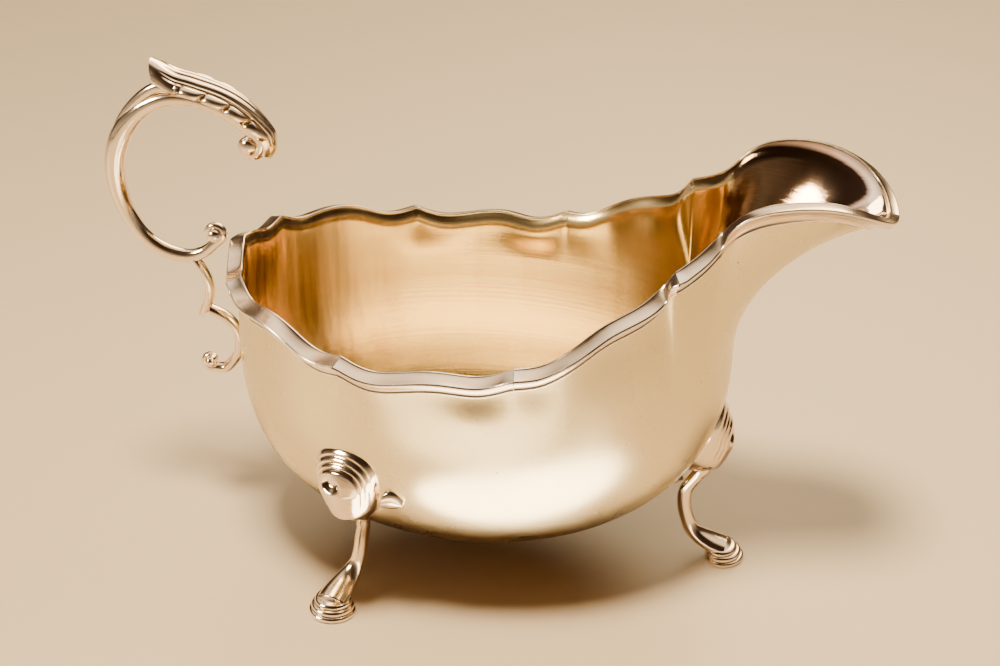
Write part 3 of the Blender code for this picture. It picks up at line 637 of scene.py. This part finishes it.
def wall_run(rim, station, angle):
    """Points down the outer wall, from under the border to just above the bottom's middle."""
    top = rim.wall_foot[station]
    belly = belly_point(angle)
    drop = np.linalg.norm(top - belly)
    lip = rim.lip_share[station]
    above = top[2] - belly[2]
    first = top + rim.down[station] * drop * (WALL_HANDLE_TOP + SPOUT_SLIMNESS * lip * 0.35)
    second = belly + np.array([0, 0, above * (WALL_HANDLE_BELLY + SPOUT_SLIMNESS * lip)])
    run = [rim.wall_top[station]]
    for step in range(UPPER_RINGS + 1):
        t = step / UPPER_RINGS
        blend = np.array([(1 - t) ** 3, 3 * t * (1 - t) ** 2, 3 * t * t * (1 - t), t**3])
        run.append(blend @ np.array([top, first, second, belly]))
    cosine = math.cos(angle)
    end = FULLNESS_BACK if cosine < 0 else FULLNESS_FRONT
    fullness = FULLNESS_SIDE + (end - FULLNESS_SIDE) * cosine**2
    middle = np.array([BELLY_X, 0, BELLY_Z])
    for share in list(np.arange(1, LOWER_RINGS) / LOWER_RINGS) + [0.985, 0.994, 0.999]:
        turn = math.pi / 2 * share
        point = middle + (belly - middle) * math.cos(turn) ** (2 / fullness)
        point[2] = BELLY_Z - (BELLY_Z - BOTTOM_Z) * math.sin(turn) ** (2 / fullness)
        run.append(point)
    return run


def make_bowl(rim):
    """The bowl as two walls joined round the edge. Returns the outer wall, for pieces that sit on it."""
    angles = rim.belly_angles()
    rings = np.array([wall_run(rim, i, angles[i]) for i in range(rim.count)]).transpose(1, 0, 2)
    pole = np.array([BELLY_X, 0, BOTTOM_Z])
    ahead = np.roll(rings, -1, axis=1) - np.roll(rings, 1, axis=1)
    below = np.concatenate([rings[1:], np.broadcast_to(pole, rings[:1].shape)])
    above = np.concatenate([rings[:1], rings[:-1]])
    normals = np.cross(ahead, below - above)
    normals /= np.linalg.norm(normals, axis=2, keepdims=True)
    if normals[3, 0, 0] > 0:
        normals = -normals
    normals[0] = rim.thick
    normals[1] = rim.thick
    count = rim.count

    def cup(rings, pole, shift):
        points = list(rings.reshape(-1, 3)) + [pole]
        faces = []
        for k in range(len(rings) - 1):
            faces += ring_faces(shift + k * count, shift + (k + 1) * count, count)
        last = shift + (len(rings) - 1) * count
        faces += [(last + i, last + (i + 1) % count, shift + len(points) - 1) for i in range(count)]
        return points, faces

    outer, outer_faces = cup(rings, pole, 0)
    inner, inner_faces = cup(rings - normals * WALL, pole + np.array([0, 0, WALL]), len(outer))
    edge = ring_faces(len(outer), 0, count)
    inner_faces = [face[::-1] for face in inner_faces]
    mesh = bpy.data.meshes.new("bowl_shell")
    mesh.from_pydata([place(p) for p in outer + inner], [], outer_faces + inner_faces + edge)
    mesh.polygons.foreach_set(
        "material_index", [0] * len(outer_faces) + [1] * len(inner_faces) + [0] * len(edge)
    )
    shape = bmesh.new()
    shape.from_mesh(mesh)
    bmesh.ops.recalc_face_normals(shape, faces=shape.faces)
    shape.to_mesh(mesh)
    shape.free()
    mesh.shade_smooth()
    marks = [polygon.material_index for polygon in mesh.polygons]
    made = finished_piece("bowl_shell", mesh, (BOWL_OUTSIDE, BOWL_INSIDE), "bowl")
    made.data.polygons.foreach_set("material_index", marks)
    return BVHTree.FromPolygons([Vector(p) for p in outer], outer_faces)


# ---------------------------------------------------------------- border


def border_section(rim, i):
    """One station's outline: bead, dished flange, rounded outer corner, cove and fine foot line."""
    here, out, down, thick = rim.inner[i], rim.out[i], rim.down[i], rim.thick[i]
    width = rim.width[i]
    rise = np.array([0, 0, 1.0])
    share = width / BORDER_WIDTH
    outline = []
    for across, height in FLANGE_SECTION:
        outline.append(here + out * width * across + rise * (height * share - across * width * BORDER_FALL))
    under = outline[-1] - rise * (0.15 + LIP_DEEPER * rim.lip_share[i])
    foot = rim.wall_foot[i]
    shelf = foot + thick * 0.62
    for step in range(1, 9):
        t = step / 9
        hollow = math.sin(math.pi * t) ** 0.8 * COVE_HOLLOW
        outline.append(under + (shelf - under) * t - out * hollow + rise * hollow * 0.35)
    outline.append(shelf - down * 0.18)
    outline.append(shelf + thick * 0.12 + down * 0.04)
    outline.append(shelf + thick * 0.05 + down * 0.28)
    outline.append(foot + thick * 0.2 + down * 0.38)
    outline.append(foot - thick * 0.4 + down * 0.36)
    outline.append(rim.inner[i] + down * 1.2 + thick * 0.4)
    return np.array(outline)


def make_border_length(name, rim, stations, node):
    """One soldered length of border, a hair short at each mitre."""
    sections = [border_section(rim, i) for i in stations]
    for end, inward in ((0, 1), (-1, -2)):
        reach = np.linalg.norm(sections[inward][0] - sections[end][0])
        sections[end] = sections[end] + (sections[inward] - sections[end]) * min(MITRE_GAP / reach, 0.8)
    points, faces = loft(sections)
    finished_piece(name, mesh_of(name, points, faces, 60), (BORDER_SILVER,), node)


def make_border(rim):
    last = rim.ends["back"][1]
    behind = [i % rim.count for i in range(-last, last + 1)]
    make_border_length("border_back_length", rim, behind, "border_back")
    for length in ("rear", "side", "shoulder", "lip"):
        start, end = rim.ends[length]
        left = list(range(start, end + 1))
        right = [(-i) % rim.count for i in left][::-1]
        for side, stations in (("left", left), ("right", right)):
            node = "border_" + side + "_" + length
            make_border_length(node + "_length", rim, stations, node)


# ---------------------------------------------------------------- handle


def side_curve(points, segments):
    """A smooth curve through points of the handle's plane."""
    return [(x, z) for x, _, z in smooth_curve([(x, 0, z) for x, z in points], segments)]


def in_plane(points, datum):
    return [np.array([datum[0] + x, 0.0, datum[2] + z]) for x, z in points]


def curl(centre, radius, start, turn, shrink, steps):
    """A spiral in the handle's plane, from a start angle through a turn, both in degrees."""
    made = []
    for k in range(steps + 1):
        share = k / steps
        angle = math.radians(start + turn * share)
        reach = radius * (1 - shrink * share)
        made.append((centre[0] + reach * math.cos(angle), centre[1] + reach * math.sin(angle)))
    return made


def eye_mesh(name, centre, radius, half_width):
    """The button in the middle of a volute: a waisted drum with domed ends."""
    quarter = [math.pi / 2 * k / 10 for k in range(11)]
    profile = [(-0.5 - 0.5 * math.cos(t), math.sin(t)) for t in quarter]
    profile += [(-0.36, 0.9), (0.36, 0.9)] + [(-y, reach) for y, reach in profile[::-1]]
    rings = []
    for y, reach in profile:
        ring = []
        for k in range(32):
            turn = 2 * math.pi * k / 32
            round_it = radius * max(reach, 0.01) * np.array([math.cos(turn), 0, math.sin(turn)])
            ring.append(centre + round_it + np.array([0, y * half_width, 0]))
        rings.append(ring)
    return mesh_of(name, *loft(rings))


def bar_path(datum):
    """The main scroll's line from volute to volute, its half thicknesses, and the top volute's count."""
    lower = curl(RIM_VOLUTE, RIM_VOLUTE_RADIUS, 165, -240, 0.12, 40)
    upper = curl(TOP_VOLUTE, TOP_VOLUTE_RADIUS, 35, -300, 0.62, 60)
    bar = side_curve(BAR_CENTRE, 150)
    halves = np.interp(np.linspace(0, 1, len(bar)), np.linspace(0, 1, len(BAR_RADIUS)), BAR_RADIUS)
    pairs = lower + bar + upper
    radii = list(np.linspace(0.75, 1.05, len(lower))) + list(halves) + list(np.linspace(1.5, 0.9, len(upper)))
    return in_plane(pairs, datum), radii, len(upper)


def even_path(path, radii, gap=0.35):
    """The same run with points a set distance apart, so that joins between its parts turn smoothly."""
    path = np.array(path)
    lengths = lengths_along(path)
    at = np.linspace(0, lengths[-1], int(lengths[-1] / gap) + 1)
    run = np.stack([np.interp(at, lengths, path[:, k]) for k in range(3)], axis=1)
    halves = np.interp(at, lengths, radii)
    for _ in range(6):
        run[1:-1] = (run[:-2] + run[1:-1] * 2 + run[2:]) / 4
        halves[1:-1] = (halves[:-2] + halves[1:-1] * 2 + halves[2:]) / 4
    return run, halves


def make_scroll(datum):
    """The main scroll with its back strap and the buttons of both volutes."""
    path, radii, top_count = bar_path(datum)
    run, halves = even_path(path, radii)
    bar = bar_mesh("scroll_bar", run, halves * BAR_FULLNESS, LEVEL, 1.0, HANDLE_SILVER, 36)
    fade = [SPINE_RADIUS * (0.3 + 0.7 * ease(k / 40, 0, 0.6)) for k in range(41)]
    back = in_plane(side_curve(SPINE, 40), datum)
    spine_bar = bar_mesh("spine", back, fade, LEVEL, 1.0, HANDLE_SILVER, 20)
    rim_eye = eye_mesh("rim_eye", in_plane([RIM_VOLUTE], datum)[0], EYE_RADIUS * 0.85, EYE_HALF_WIDTH)
    top_eye = eye_mesh("top_eye", in_plane([TOP_VOLUTE], datum)[0], EYE_RADIUS * 1.08, EYE_HALF_WIDTH)
    mesh = joined("handle_main_scroll", (bar, spine_bar, rim_eye, top_eye))
    finished_piece("handle_main_scroll", mesh, (HANDLE_SILVER,), "handle_scroll")
    return np.array(path), np.array(radii), top_count


def leaf_relief(share, turn):
    """How far the chasing stands out of the leaf's saddle: ribs along it, and lobes along both edges."""
    down = abs(turn) / (math.pi / 2)
    lobe_run = (share - 0.10) / 0.74
    value = 0.0
    if 0 < lobe_run < 1:
        beat = abs(math.sin(math.pi * LEAF_LOBES * (lobe_run + 0.10 * (1 - down))))
        value += 1.15 * beat**0.55 * hump(down, 0.84, 0.36) * (0.75 + 0.25 * share)
        value -= 0.45 * (1 - beat) ** 4 * hump(down, 0.80, 0.4)
    ribs = 0.5 - 0.5 * math.cos(2 * math.pi * LEAF_RIBS * (0.5 + turn / math.pi) * (0.82 + 0.18 * share))
    along = ease(share, 0.02, 0.2) * (1 - ease(share, 0.84, 0.97))
    value -= 0.42 * (1 - ribs) ** 2.5 * along * (1 - ease(down, 0.5, 0.62))
    value -= 0.45 * hump(down, 0.53, 0.08) * along
    return value


def make_leaf(path, radii, top_count):
    """The leaf astride the scroll, with its free tip turned up."""
    lengths = lengths_along(path)
    start = lengths[-top_count] + LEAF_START
    steps = 130
    spread = np.linspace(-math.pi / 2, math.pi / 2, 73)
    sections = np.array(LEAF_SECTIONS)
    side = np.array([0, 1.0, 0])
    rings = []
    smooth = {}
    for column in range(1, 5):
        run = np.interp(np.linspace(0, 1, steps + 1), sections[:, 0], sections[:, column])
        for _ in range(40):
            run[1:-1] = (run[:-2] + 2 * run[1:-1] + run[2:]) / 4
        smooth[column] = run
    for k in range(steps + 1):
        share = k / steps
        at = start - LEAF_LENGTH * share
        behind, here, ahead = (
            np.array([np.interp(at + away, lengths, path[:, axis]) for axis in range(3)])
            for away in (-1.5, 0, 1.5)
        )
        up = unit(np.cross(ahead - behind, side))
        half, crown, edge, hollow = (smooth[i][k] for i in range(1, 5))
        inner_top = np.interp(at, lengths, radii) * BAR_RIDGE + 0.1 + hollow
        inner_half = half - 0.7
        low = min(edge, inner_top)
        inside = [
            here + side * inner_half * math.sin(a) + up * (low + (inner_top - low) * math.cos(a))
            for a in spread
        ]
        outside = []
        for a in spread[::-1]:
            height = edge + (crown - 0.25 - edge) * math.cos(a)
            base = here + side * (half - 0.35) * math.sin(a) + up * height
            outside.append(base + (side * math.sin(a) + up * math.cos(a)) * leaf_relief(share, a))
        rings.append(inside + outside)
    mesh = mesh_of("handle_acanthus", *loft(rings), 70)
    finished_piece("handle_acanthus", mesh, (LEAF_SILVER,), "handle_leaf")


def make_lower_handle(datum, path, radii):
    """The small scroll on the wall, and the bowed strut between it and the main scroll."""
    run = side_curve(LOWER_SCROLL, 70)
    pairs = run + curl(LOWER_VOLUTE, LOWER_VOLUTE_RADIUS, -60, -215, 0.15, 40)
    halves = [LOWER_SCROLL_RADIUS] * len(run) + list(np.linspace(1.1, 0.7, 41))
    run, halves = even_path(in_plane(pairs, datum), halves, 0.3)
    scroll = bar_mesh("lower_scroll_bar", run, halves, LEVEL, 1.3, HANDLE_SILVER, 28)
    button = eye_mesh("lower_eye", in_plane([LOWER_VOLUTE], datum)[0], 1.3, 2.2)
    mesh = joined("handle_tail_scroll", (scroll, button))
    finished_piece("handle_tail_scroll", mesh, (HANDLE_SILVER,), "handle_lower_scroll")
    low = [i for i in range(len(path)) if path[i][2] < datum[2] and path[i][0] < datum[0] - 5.5]
    nearest = min(low, key=lambda i: abs(path[i][0] - (datum[0] - BRACKET_REACH)))
    top = path[nearest] - np.array([0, 0, radii[nearest] * 0.7])
    bottom = np.array([datum[0] + LOWER_SCROLL[0][0] - 1.2, 0, datum[2] + LOWER_SCROLL[0][1]])
    middle = (top + bottom) / 2 + np.array([BRACKET_BULGE + 0.6, 0, 0])
    run = list(smooth_curve([top, middle, bottom], 50))
    tip = np.array([datum[0] + SPUR[0], 0, datum[2] + SPUR[1]])
    run += [bottom + (tip - bottom) * t for t in np.linspace(0.15, 1, 10)]
    halves = [BRACKET_RADIUS * (0.85 + 0.15 * min(k / 6, 1)) for k in range(51)]
    halves += list(BRACKET_RADIUS * np.linspace(0.9, 0.3, 10))
    run, halves = even_path(run, halves, 0.3)
    strut = bar_mesh("strut_bar", run, halves, LEVEL, 1.3, HANDLE_SILVER, 28)
    finished_piece("handle_strut", strut, (HANDLE_SILVER,), "handle_bracket")


# ---------------------------------------------------------------- legs


def leg_frame(facing):
    angle = math.radians(facing)
    return np.array([math.cos(angle), math.sin(angle), 0]), np.array([-math.sin(angle), math.cos(angle), 0])


def clear_of_bowl(mesh, tree):
    """Moves any point of a soldered piece that would reach into the bowl out to its surface."""
    middle = Vector((BELLY_X, 0, BELLY_Z))
    for vertex in mesh.vertices:
        here = Vector(np.array(vertex.co) / MM - SHIFT)
        near, normal, _, _ = tree.find_nearest(here)
        if normal.dot(near - middle) < 0:
            normal = -normal
        if (here - near).dot(normal) < -0.3:
            vertex.co = place(near - normal * 0.3)


def make_leg(name, tree, foot, facing, shank, mirror, node):
    """The curved shank, its teardrop instep and the banded foot."""
    out, side = leg_frame(facing)
    side = side * mirror
    run = smooth_curve(shank, 90)
    base = np.array([foot[0], foot[1], 0])
    path = np.array([base + out * r + side * t + np.array([0, 0, z]) for r, t, z in run])
    rings = []
    for i, here in enumerate(path):
        share = i / (len(path) - 1)
        along = unit(path[min(i + 1, len(path) - 1)] - path[max(i - 1, 0)])
        top = unit(np.cross(side, along))
        level = np.cross(along, top)
        flare = ease(share, 0.52, 0.96)
        wide = SHANK_RADIUS + flare * 2.1
        thick = SHANK_RADIUS + flare * 0.35
        ring = []
        for k in range(40):
            turn = 2 * math.pi * k / 40
            across, up = math.cos(turn), math.sin(turn)
            panel = 0.28 * hump(across, 0.0, 0.16 + 0.62 * ease(share, 0.55, 0.95)) * ease(share, 0.53, 0.66)
            groove = panel if up > 0 else 0.0
            ring.append(here + level * across * wide + top * (up * thick + groove * 1.4))
        rings.append(ring)
    shank_mesh = mesh_of(name + "_shank", *loft(rings))
    clear_of_bowl(shank_mesh, tree)
    rings = []
    for reach, height in FOOT_BANDS:
        ring = []
        for k in range(64):
            angle = 2 * math.pi * k / 64
            back = 1 - 0.25 * max(0, -math.cos(angle))
            flat = out * math.cos(angle) * FOOT_HALF_LENGTH * back + side * math.sin(angle) * FOOT_HALF_WIDTH
            inset = out * FOOT_HALF_LENGTH * (1 - reach) * 0.6
            ring.append(base + np.array([0, 0, height]) + flat * reach - inset)
        rings.append(ring)
    foot_mesh = mesh_of(name + "_foot", *loft(rings))
    finished_piece(name, joined(name, (shank_mesh, foot_mesh)), (LEG_SILVER,), node)
    return path


class Knee:
    """Where a knee shell sits: its middle on the bowl and the directions out of, across and up it."""

    def __init__(self, tree, angle, height, lean):
        self.tree = tree
        out = np.array([math.cos(math.radians(angle)), math.sin(math.radians(angle)), 0])
        self.middle = self.on_bowl(np.array([BELLY_X, 0, height]) + out * 100, -out)
        normal = np.array(tree.find_nearest(Vector(self.middle))[1])
        self.facing = normal if normal @ out > 0 else -normal
        level = unit(np.cross((0, 0, 1.0), self.facing))
        rise = np.cross(self.facing, level)
        turn = math.radians(lean)
        self.across = level * math.cos(turn) + rise * math.sin(turn)
        self.upward = rise * math.cos(turn) - level * math.sin(turn)

    def on_bowl(self, point, direction):
        return np.array(self.tree.ray_cast(Vector(point), Vector(direction))[0])


def fan_share(q):
    """The shell's half width at a height, as a share of its widest."""
    return math.sqrt(max(1 - abs(q) ** 3, 0)) * (0.8 + 0.2 * q)


def make_knee(name, knee, leg_path, mirror, node):
    """The scallop above a leg: nested ribs round its top, an oval dimple and a smooth boss."""
    ring_count, around = 60, 120
    front = []
    back = []
    for r in range(ring_count + 1):
        reach = r / ring_count
        ring = []
        rear = []
        for k in range(around):
            turn = 2 * math.pi * k / around
            q_edge = math.sin(turn)
            x = reach * math.copysign(KNEE_HALF_WIDTH * fan_share(q_edge), math.cos(turn))
            q = reach * q_edge
            p = min(abs(x) / max(KNEE_HALF_WIDTH * fan_share(q), 2.0), 1)
            dome = max(1 - p * p, 0) ** 0.55 * (1 - reach**10) ** 0.5
            height = KNEE_BOSS * np.interp(q, *KNEE_PROFILE)
            topside = ease(q_edge, -0.55, 0.15)
            ribbed = topside * ease(reach, KNEE_RIB_START - 0.02, KNEE_RIB_START + 0.01)
            beat = 0.5 - 0.5 * math.cos(2 * math.pi * (reach - KNEE_RIB_START) / KNEE_RIB_PITCH)
            rib = -KNEE_RIB_DEPTH * (1 - beat) ** 1.6 * ribbed * (1 - ease(reach, 0.97, 1.0))
            step = -KNEE_RIB_SINK * ribbed
            oval = math.hypot(
                (x / KNEE_HALF_WIDTH - DIMPLE_PLACE[0] * mirror) / DIMPLE_HALF_SIZE[0],
                (q - DIMPLE_PLACE[1]) / DIMPLE_HALF_SIZE[1],
            )
            dimple = -DIMPLE_DEPTH * (1 - ease(oval, 0.45, 1.0))
            edge = KNEE_EDGE * (1 - reach**8) ** 0.5
            at = knee.middle + knee.across * x + knee.upward * q * KNEE_HALF_LENGTH
            base = knee.on_bowl(at + knee.facing * 14, -knee.facing)
            ring.append(base + knee.facing * (edge + dome * (height + rib + step + dimple) - 0.1))
            rear.append(base - knee.facing * 0.5)
        front.append(ring)
        back.append(rear)
    rings = front[1:] + back[:0:-1]
    shell = mesh_of(name + "_shell", *loft(rings), 75)
    upward = unit(leg_path[0] - leg_path[4])
    inner = knee.middle - knee.upward * KNEE_HALF_LENGTH * 0.45 + knee.facing * 2.6
    bend = leg_path[0] + upward * 1.2
    run = smooth_curve([leg_path[0] - upward * 0.5, bend, (bend + inner) / 2, inner], 24)
    halves = np.linspace(SHANK_RADIUS, SHANK_RADIUS + 0.5, len(run))
    neck = bar_mesh(name + "_neck", run, halves, knee.across, 1.0, KNEE_SILVER, 32)
    clear_of_bowl(neck, knee.tree)
    finished_piece(name, joined(name, (shell, neck)), (KNEE_SILVER,), node)


def make_tab(name, root, toward, knee, length, thickness, node):
    """The pointed leaf beside a knee, with a crest down its middle."""
    side = unit(np.cross(knee.facing, toward))
    rings = []
    for i in range(41):
        share = i / 40
        half = TAB_HALF_WIDTH * math.sin(math.pi * (0.3 + 0.66 * share)) ** 0.8
        low = []
        high = []
        for p in np.linspace(-1, 1, 25):
            at = root + toward * length * share + side * half * p
            base = knee.on_bowl(at + knee.facing * 14, -knee.facing)
            rise = thickness * (0.1 + 0.9 * (1 - p * p) ** 0.7) * (1.1 - 0.5 * share)
            low.append(base - knee.facing * 0.4)
            high.append(base + knee.facing * (rise if abs(p) < 1 else 0.1))
        rings.append(low + high[::-1])
    finished_piece(name, mesh_of(name, *loft(rings), 50), (KNEE_SILVER,), node)


def make_legs(tree):
    front_foot = np.array([BELLY_X + BELLY_FRONT + FRONT_FOOT_OUT, 0, 0])
    turn = math.radians(REAR_FOOT_ANGLE)
    reach = REAR_FOOT_OUT + 1 / math.hypot(math.cos(turn) / BELLY_BACK, math.sin(turn) / BELLY_HALF_WIDTH)
    rear_foot = np.array([BELLY_X + reach * math.cos(turn), reach * math.sin(turn), 0])
    rear = (rear_foot, REAR_LEG_FACING, REAR_SHANK, REAR_KNEE_ANGLE, REAR_KNEE_RISE, KNEE_LEAN)
    placings = (
        ("front", 1, front_foot, 0.0, FRONT_SHANK, 0.0, FRONT_KNEE_RISE, 0.0),
        ("rear_right", 1, *rear),
        ("rear_left", -1, *rear),
    )
    for name, mirror, foot, facing, shank, knee_angle, knee_rise, lean in placings:
        height = BOTTOM_Z + (BELLY_Z - BOTTOM_Z) * knee_rise
        shank = np.array(shank) * (1, 1, height)
        foot = foot * (1, mirror, 1)
        path = make_leg("leg_shank_" + name, tree, foot, facing * mirror, shank, mirror, "leg_" + name)
        knee = Knee(tree, knee_angle * mirror, height, lean * mirror)
        make_knee("knee_shell_" + name, knee, path, mirror, "knee_" + name)
        if name == "front":
            toward = -knee.upward
            root = knee.middle + toward * FRONT_TAB_DOWN
            size = (FRONT_TAB_LENGTH, FRONT_TAB_THICK)
        else:
            toward = unit(knee.across * mirror - knee.upward * 0.25)
            root = knee.middle + knee.across * mirror * REAR_TAB_OVER - knee.upward * REAR_TAB_DOWN
            size = (REAR_TAB_LENGTH, REAR_TAB_THICK)
        make_tab("tab_leaf_" + name, root, toward, knee, *size, "tab_" + name)


# ---------------------------------------------------------------- studio


def make_floor():
    """A wide pale table top."""
    mesh = bpy.data.meshes.new("studio_table")
    mesh.from_pydata([(-3, -3, 0), (3, -3, 0), (3, 1.6, 0), (-3, 1.6, 0)], [], [(0, 1, 2, 3)])
    paper = Finish("studio_paper")
    paper.shader.inputs["Metallic"].default_value = 0.0
    paper.shader.inputs["Roughness"].default_value = 0.5
    grain = paper.ramp(paper.noise(5.0), (0.0, (0.52, 0.405, 0.258)), (1.0, (0.56, 0.44, 0.282)))
    paper.link(grain, paper.shader.inputs["Base Color"])
    mesh.materials.append(paper.made)
    floor = bpy.data.objects.new("studio_table", mesh)
    bpy.context.scene.collection.objects.link(floor)


# Each light: its place, the point it faces, its two sizes, watts, colour and what it lights
STUDIO_LIGHTS = (
    ("side_softbox", (-1.05, -0.50, 0.85), (0, 0, 0.05), (0.45, 0.4), 34, (1.0, 0.82, 0.56), "metal"),
    ("overhead_softbox", (-0.03, -0.20, 0.92), (0, -0.06, 0), (0.22, 0.22), 26, (1.0, 0.83, 0.60), "table"),
    ("far_softbox", (0.10, 1.15, 0.95), (0, 0, 0.05), (1.1, 0.8), 26, (1.0, 0.76, 0.42), "metal"),
    ("table_sheen", (0, -0.15, 0.001), (0, -0.15, 1), (0.15, 0.11), 0.15, (1.0, 0.82, 0.57), "metal"),
    ("table_glow", (0.026, -0.06, 0.002), (0.026, -0.06, 1), (0.095, 0.045), 0.12, (1, 0.87, 0.68), "metal"),
)


def make_lights():
    """Soft oval lights, each for the metal's reflections or for the table's light and shadow."""
    for name, where, toward, size, watts, colour, lights in STUDIO_LIGHTS:
        lamp = bpy.data.lights.new(name, "AREA")
        lamp.shape = "ELLIPSE"
        lamp.size, lamp.size_y = size
        lamp.energy = watts
        lamp.color = colour
        made = bpy.data.objects.new(name, lamp)
        made.location = where
        made.rotation_euler = (Vector(toward) - Vector(where)).to_track_quat("-Z", "Y").to_euler()
        made.visible_camera = False
        made.visible_glossy = lights == "metal"
        made.visible_diffuse = lights == "table"
        bpy.context.scene.collection.objects.link(made)


def make_room():
    """The room's light: bright high up behind the boat, pale at table height in front, and dim elsewhere."""
    world = bpy.data.worlds.new("studio_room")
    world.use_nodes = True
    tree = world.node_tree
    back = tree.nodes["Background"]
    where = new_node(tree, "ShaderNodeTexCoord")
    parts = new_node(tree, "ShaderNodeSeparateXYZ")
    tree.links.new(where.outputs["Generated"], parts.inputs["Vector"])
    behind = colour_ramp(
        tree, parts.outputs["Z"], (0.0, (0.05, 0.030, 0.019)), (0.30, (0.05, 0.028, 0.018)),
        (0.52, (0.09, 0.055, 0.035)), (0.66, (0.9, 0.68, 0.48)), (0.95, (1.9, 1.5, 1.1)),
    )
    before = colour_ramp(
        tree, parts.outputs["Z"], (0.0, (0.52, 0.41, 0.27)), (0.20, (0.24, 0.175, 0.11)),
        (0.45, (0.04, 0.024, 0.014)), (0.70, (0.025, 0.015, 0.009)), (0.95, (0.04, 0.022, 0.014)),
    )
    depth = new_node(tree, "ShaderNodeMapRange")
    depth.inputs["From Min"].default_value = -0.05
    depth.inputs["From Max"].default_value = 0.30
    both = new_node(tree, "ShaderNodeMix", data_type="RGBA")
    for a, b in (
        (parts.outputs["Y"], depth.inputs["Value"]), (depth.outputs["Result"], both.inputs[0]),
        (before, both.inputs[6]), (behind, both.inputs[7]), (both.outputs[2], back.inputs["Color"]),
    ):
        tree.links.new(a, b)
    back.inputs["Strength"].default_value = 1.25
    bpy.context.scene.world = world


def make_camera():
    """The camera stands in front of the right side, a little toward the spout, looking down at the bowl."""
    azimuth, elevation, distance = math.radians(9.72), math.radians(29.02), 405.0
    target = np.array([2.86, 0, 56.99])
    away = np.array([
        math.sin(azimuth) * math.cos(elevation), -math.cos(azimuth) * math.cos(elevation), math.sin(elevation)
    ])
    data = bpy.data.cameras.new("studio_camera")
    data.lens = 62.5
    data.sensor_width = 36.0
    data.clip_start = 0.01
    camera = bpy.data.objects.new("studio_camera", data)
    camera.location = place(target + away * distance)
    camera.rotation_euler = Vector(-away).to_track_quat("-Z", "Y").to_euler()
    bpy.context.scene.collection.objects.link(camera)
    bpy.context.scene.camera = camera


RIM = Rim()
BOWL_TREE = make_bowl(RIM)
make_border(RIM)
DATUM = RIM.inner[0] + RIM.out[0] * RIM.width[0]
BAR, BAR_HALVES, TOP_COUNT = make_scroll(DATUM)
make_leaf(BAR, BAR_HALVES, TOP_COUNT)
make_lower_handle(DATUM, BAR, BAR_HALVES)
make_legs(BOWL_TREE)
make_floor()
make_room()
make_lights()
make_camera()
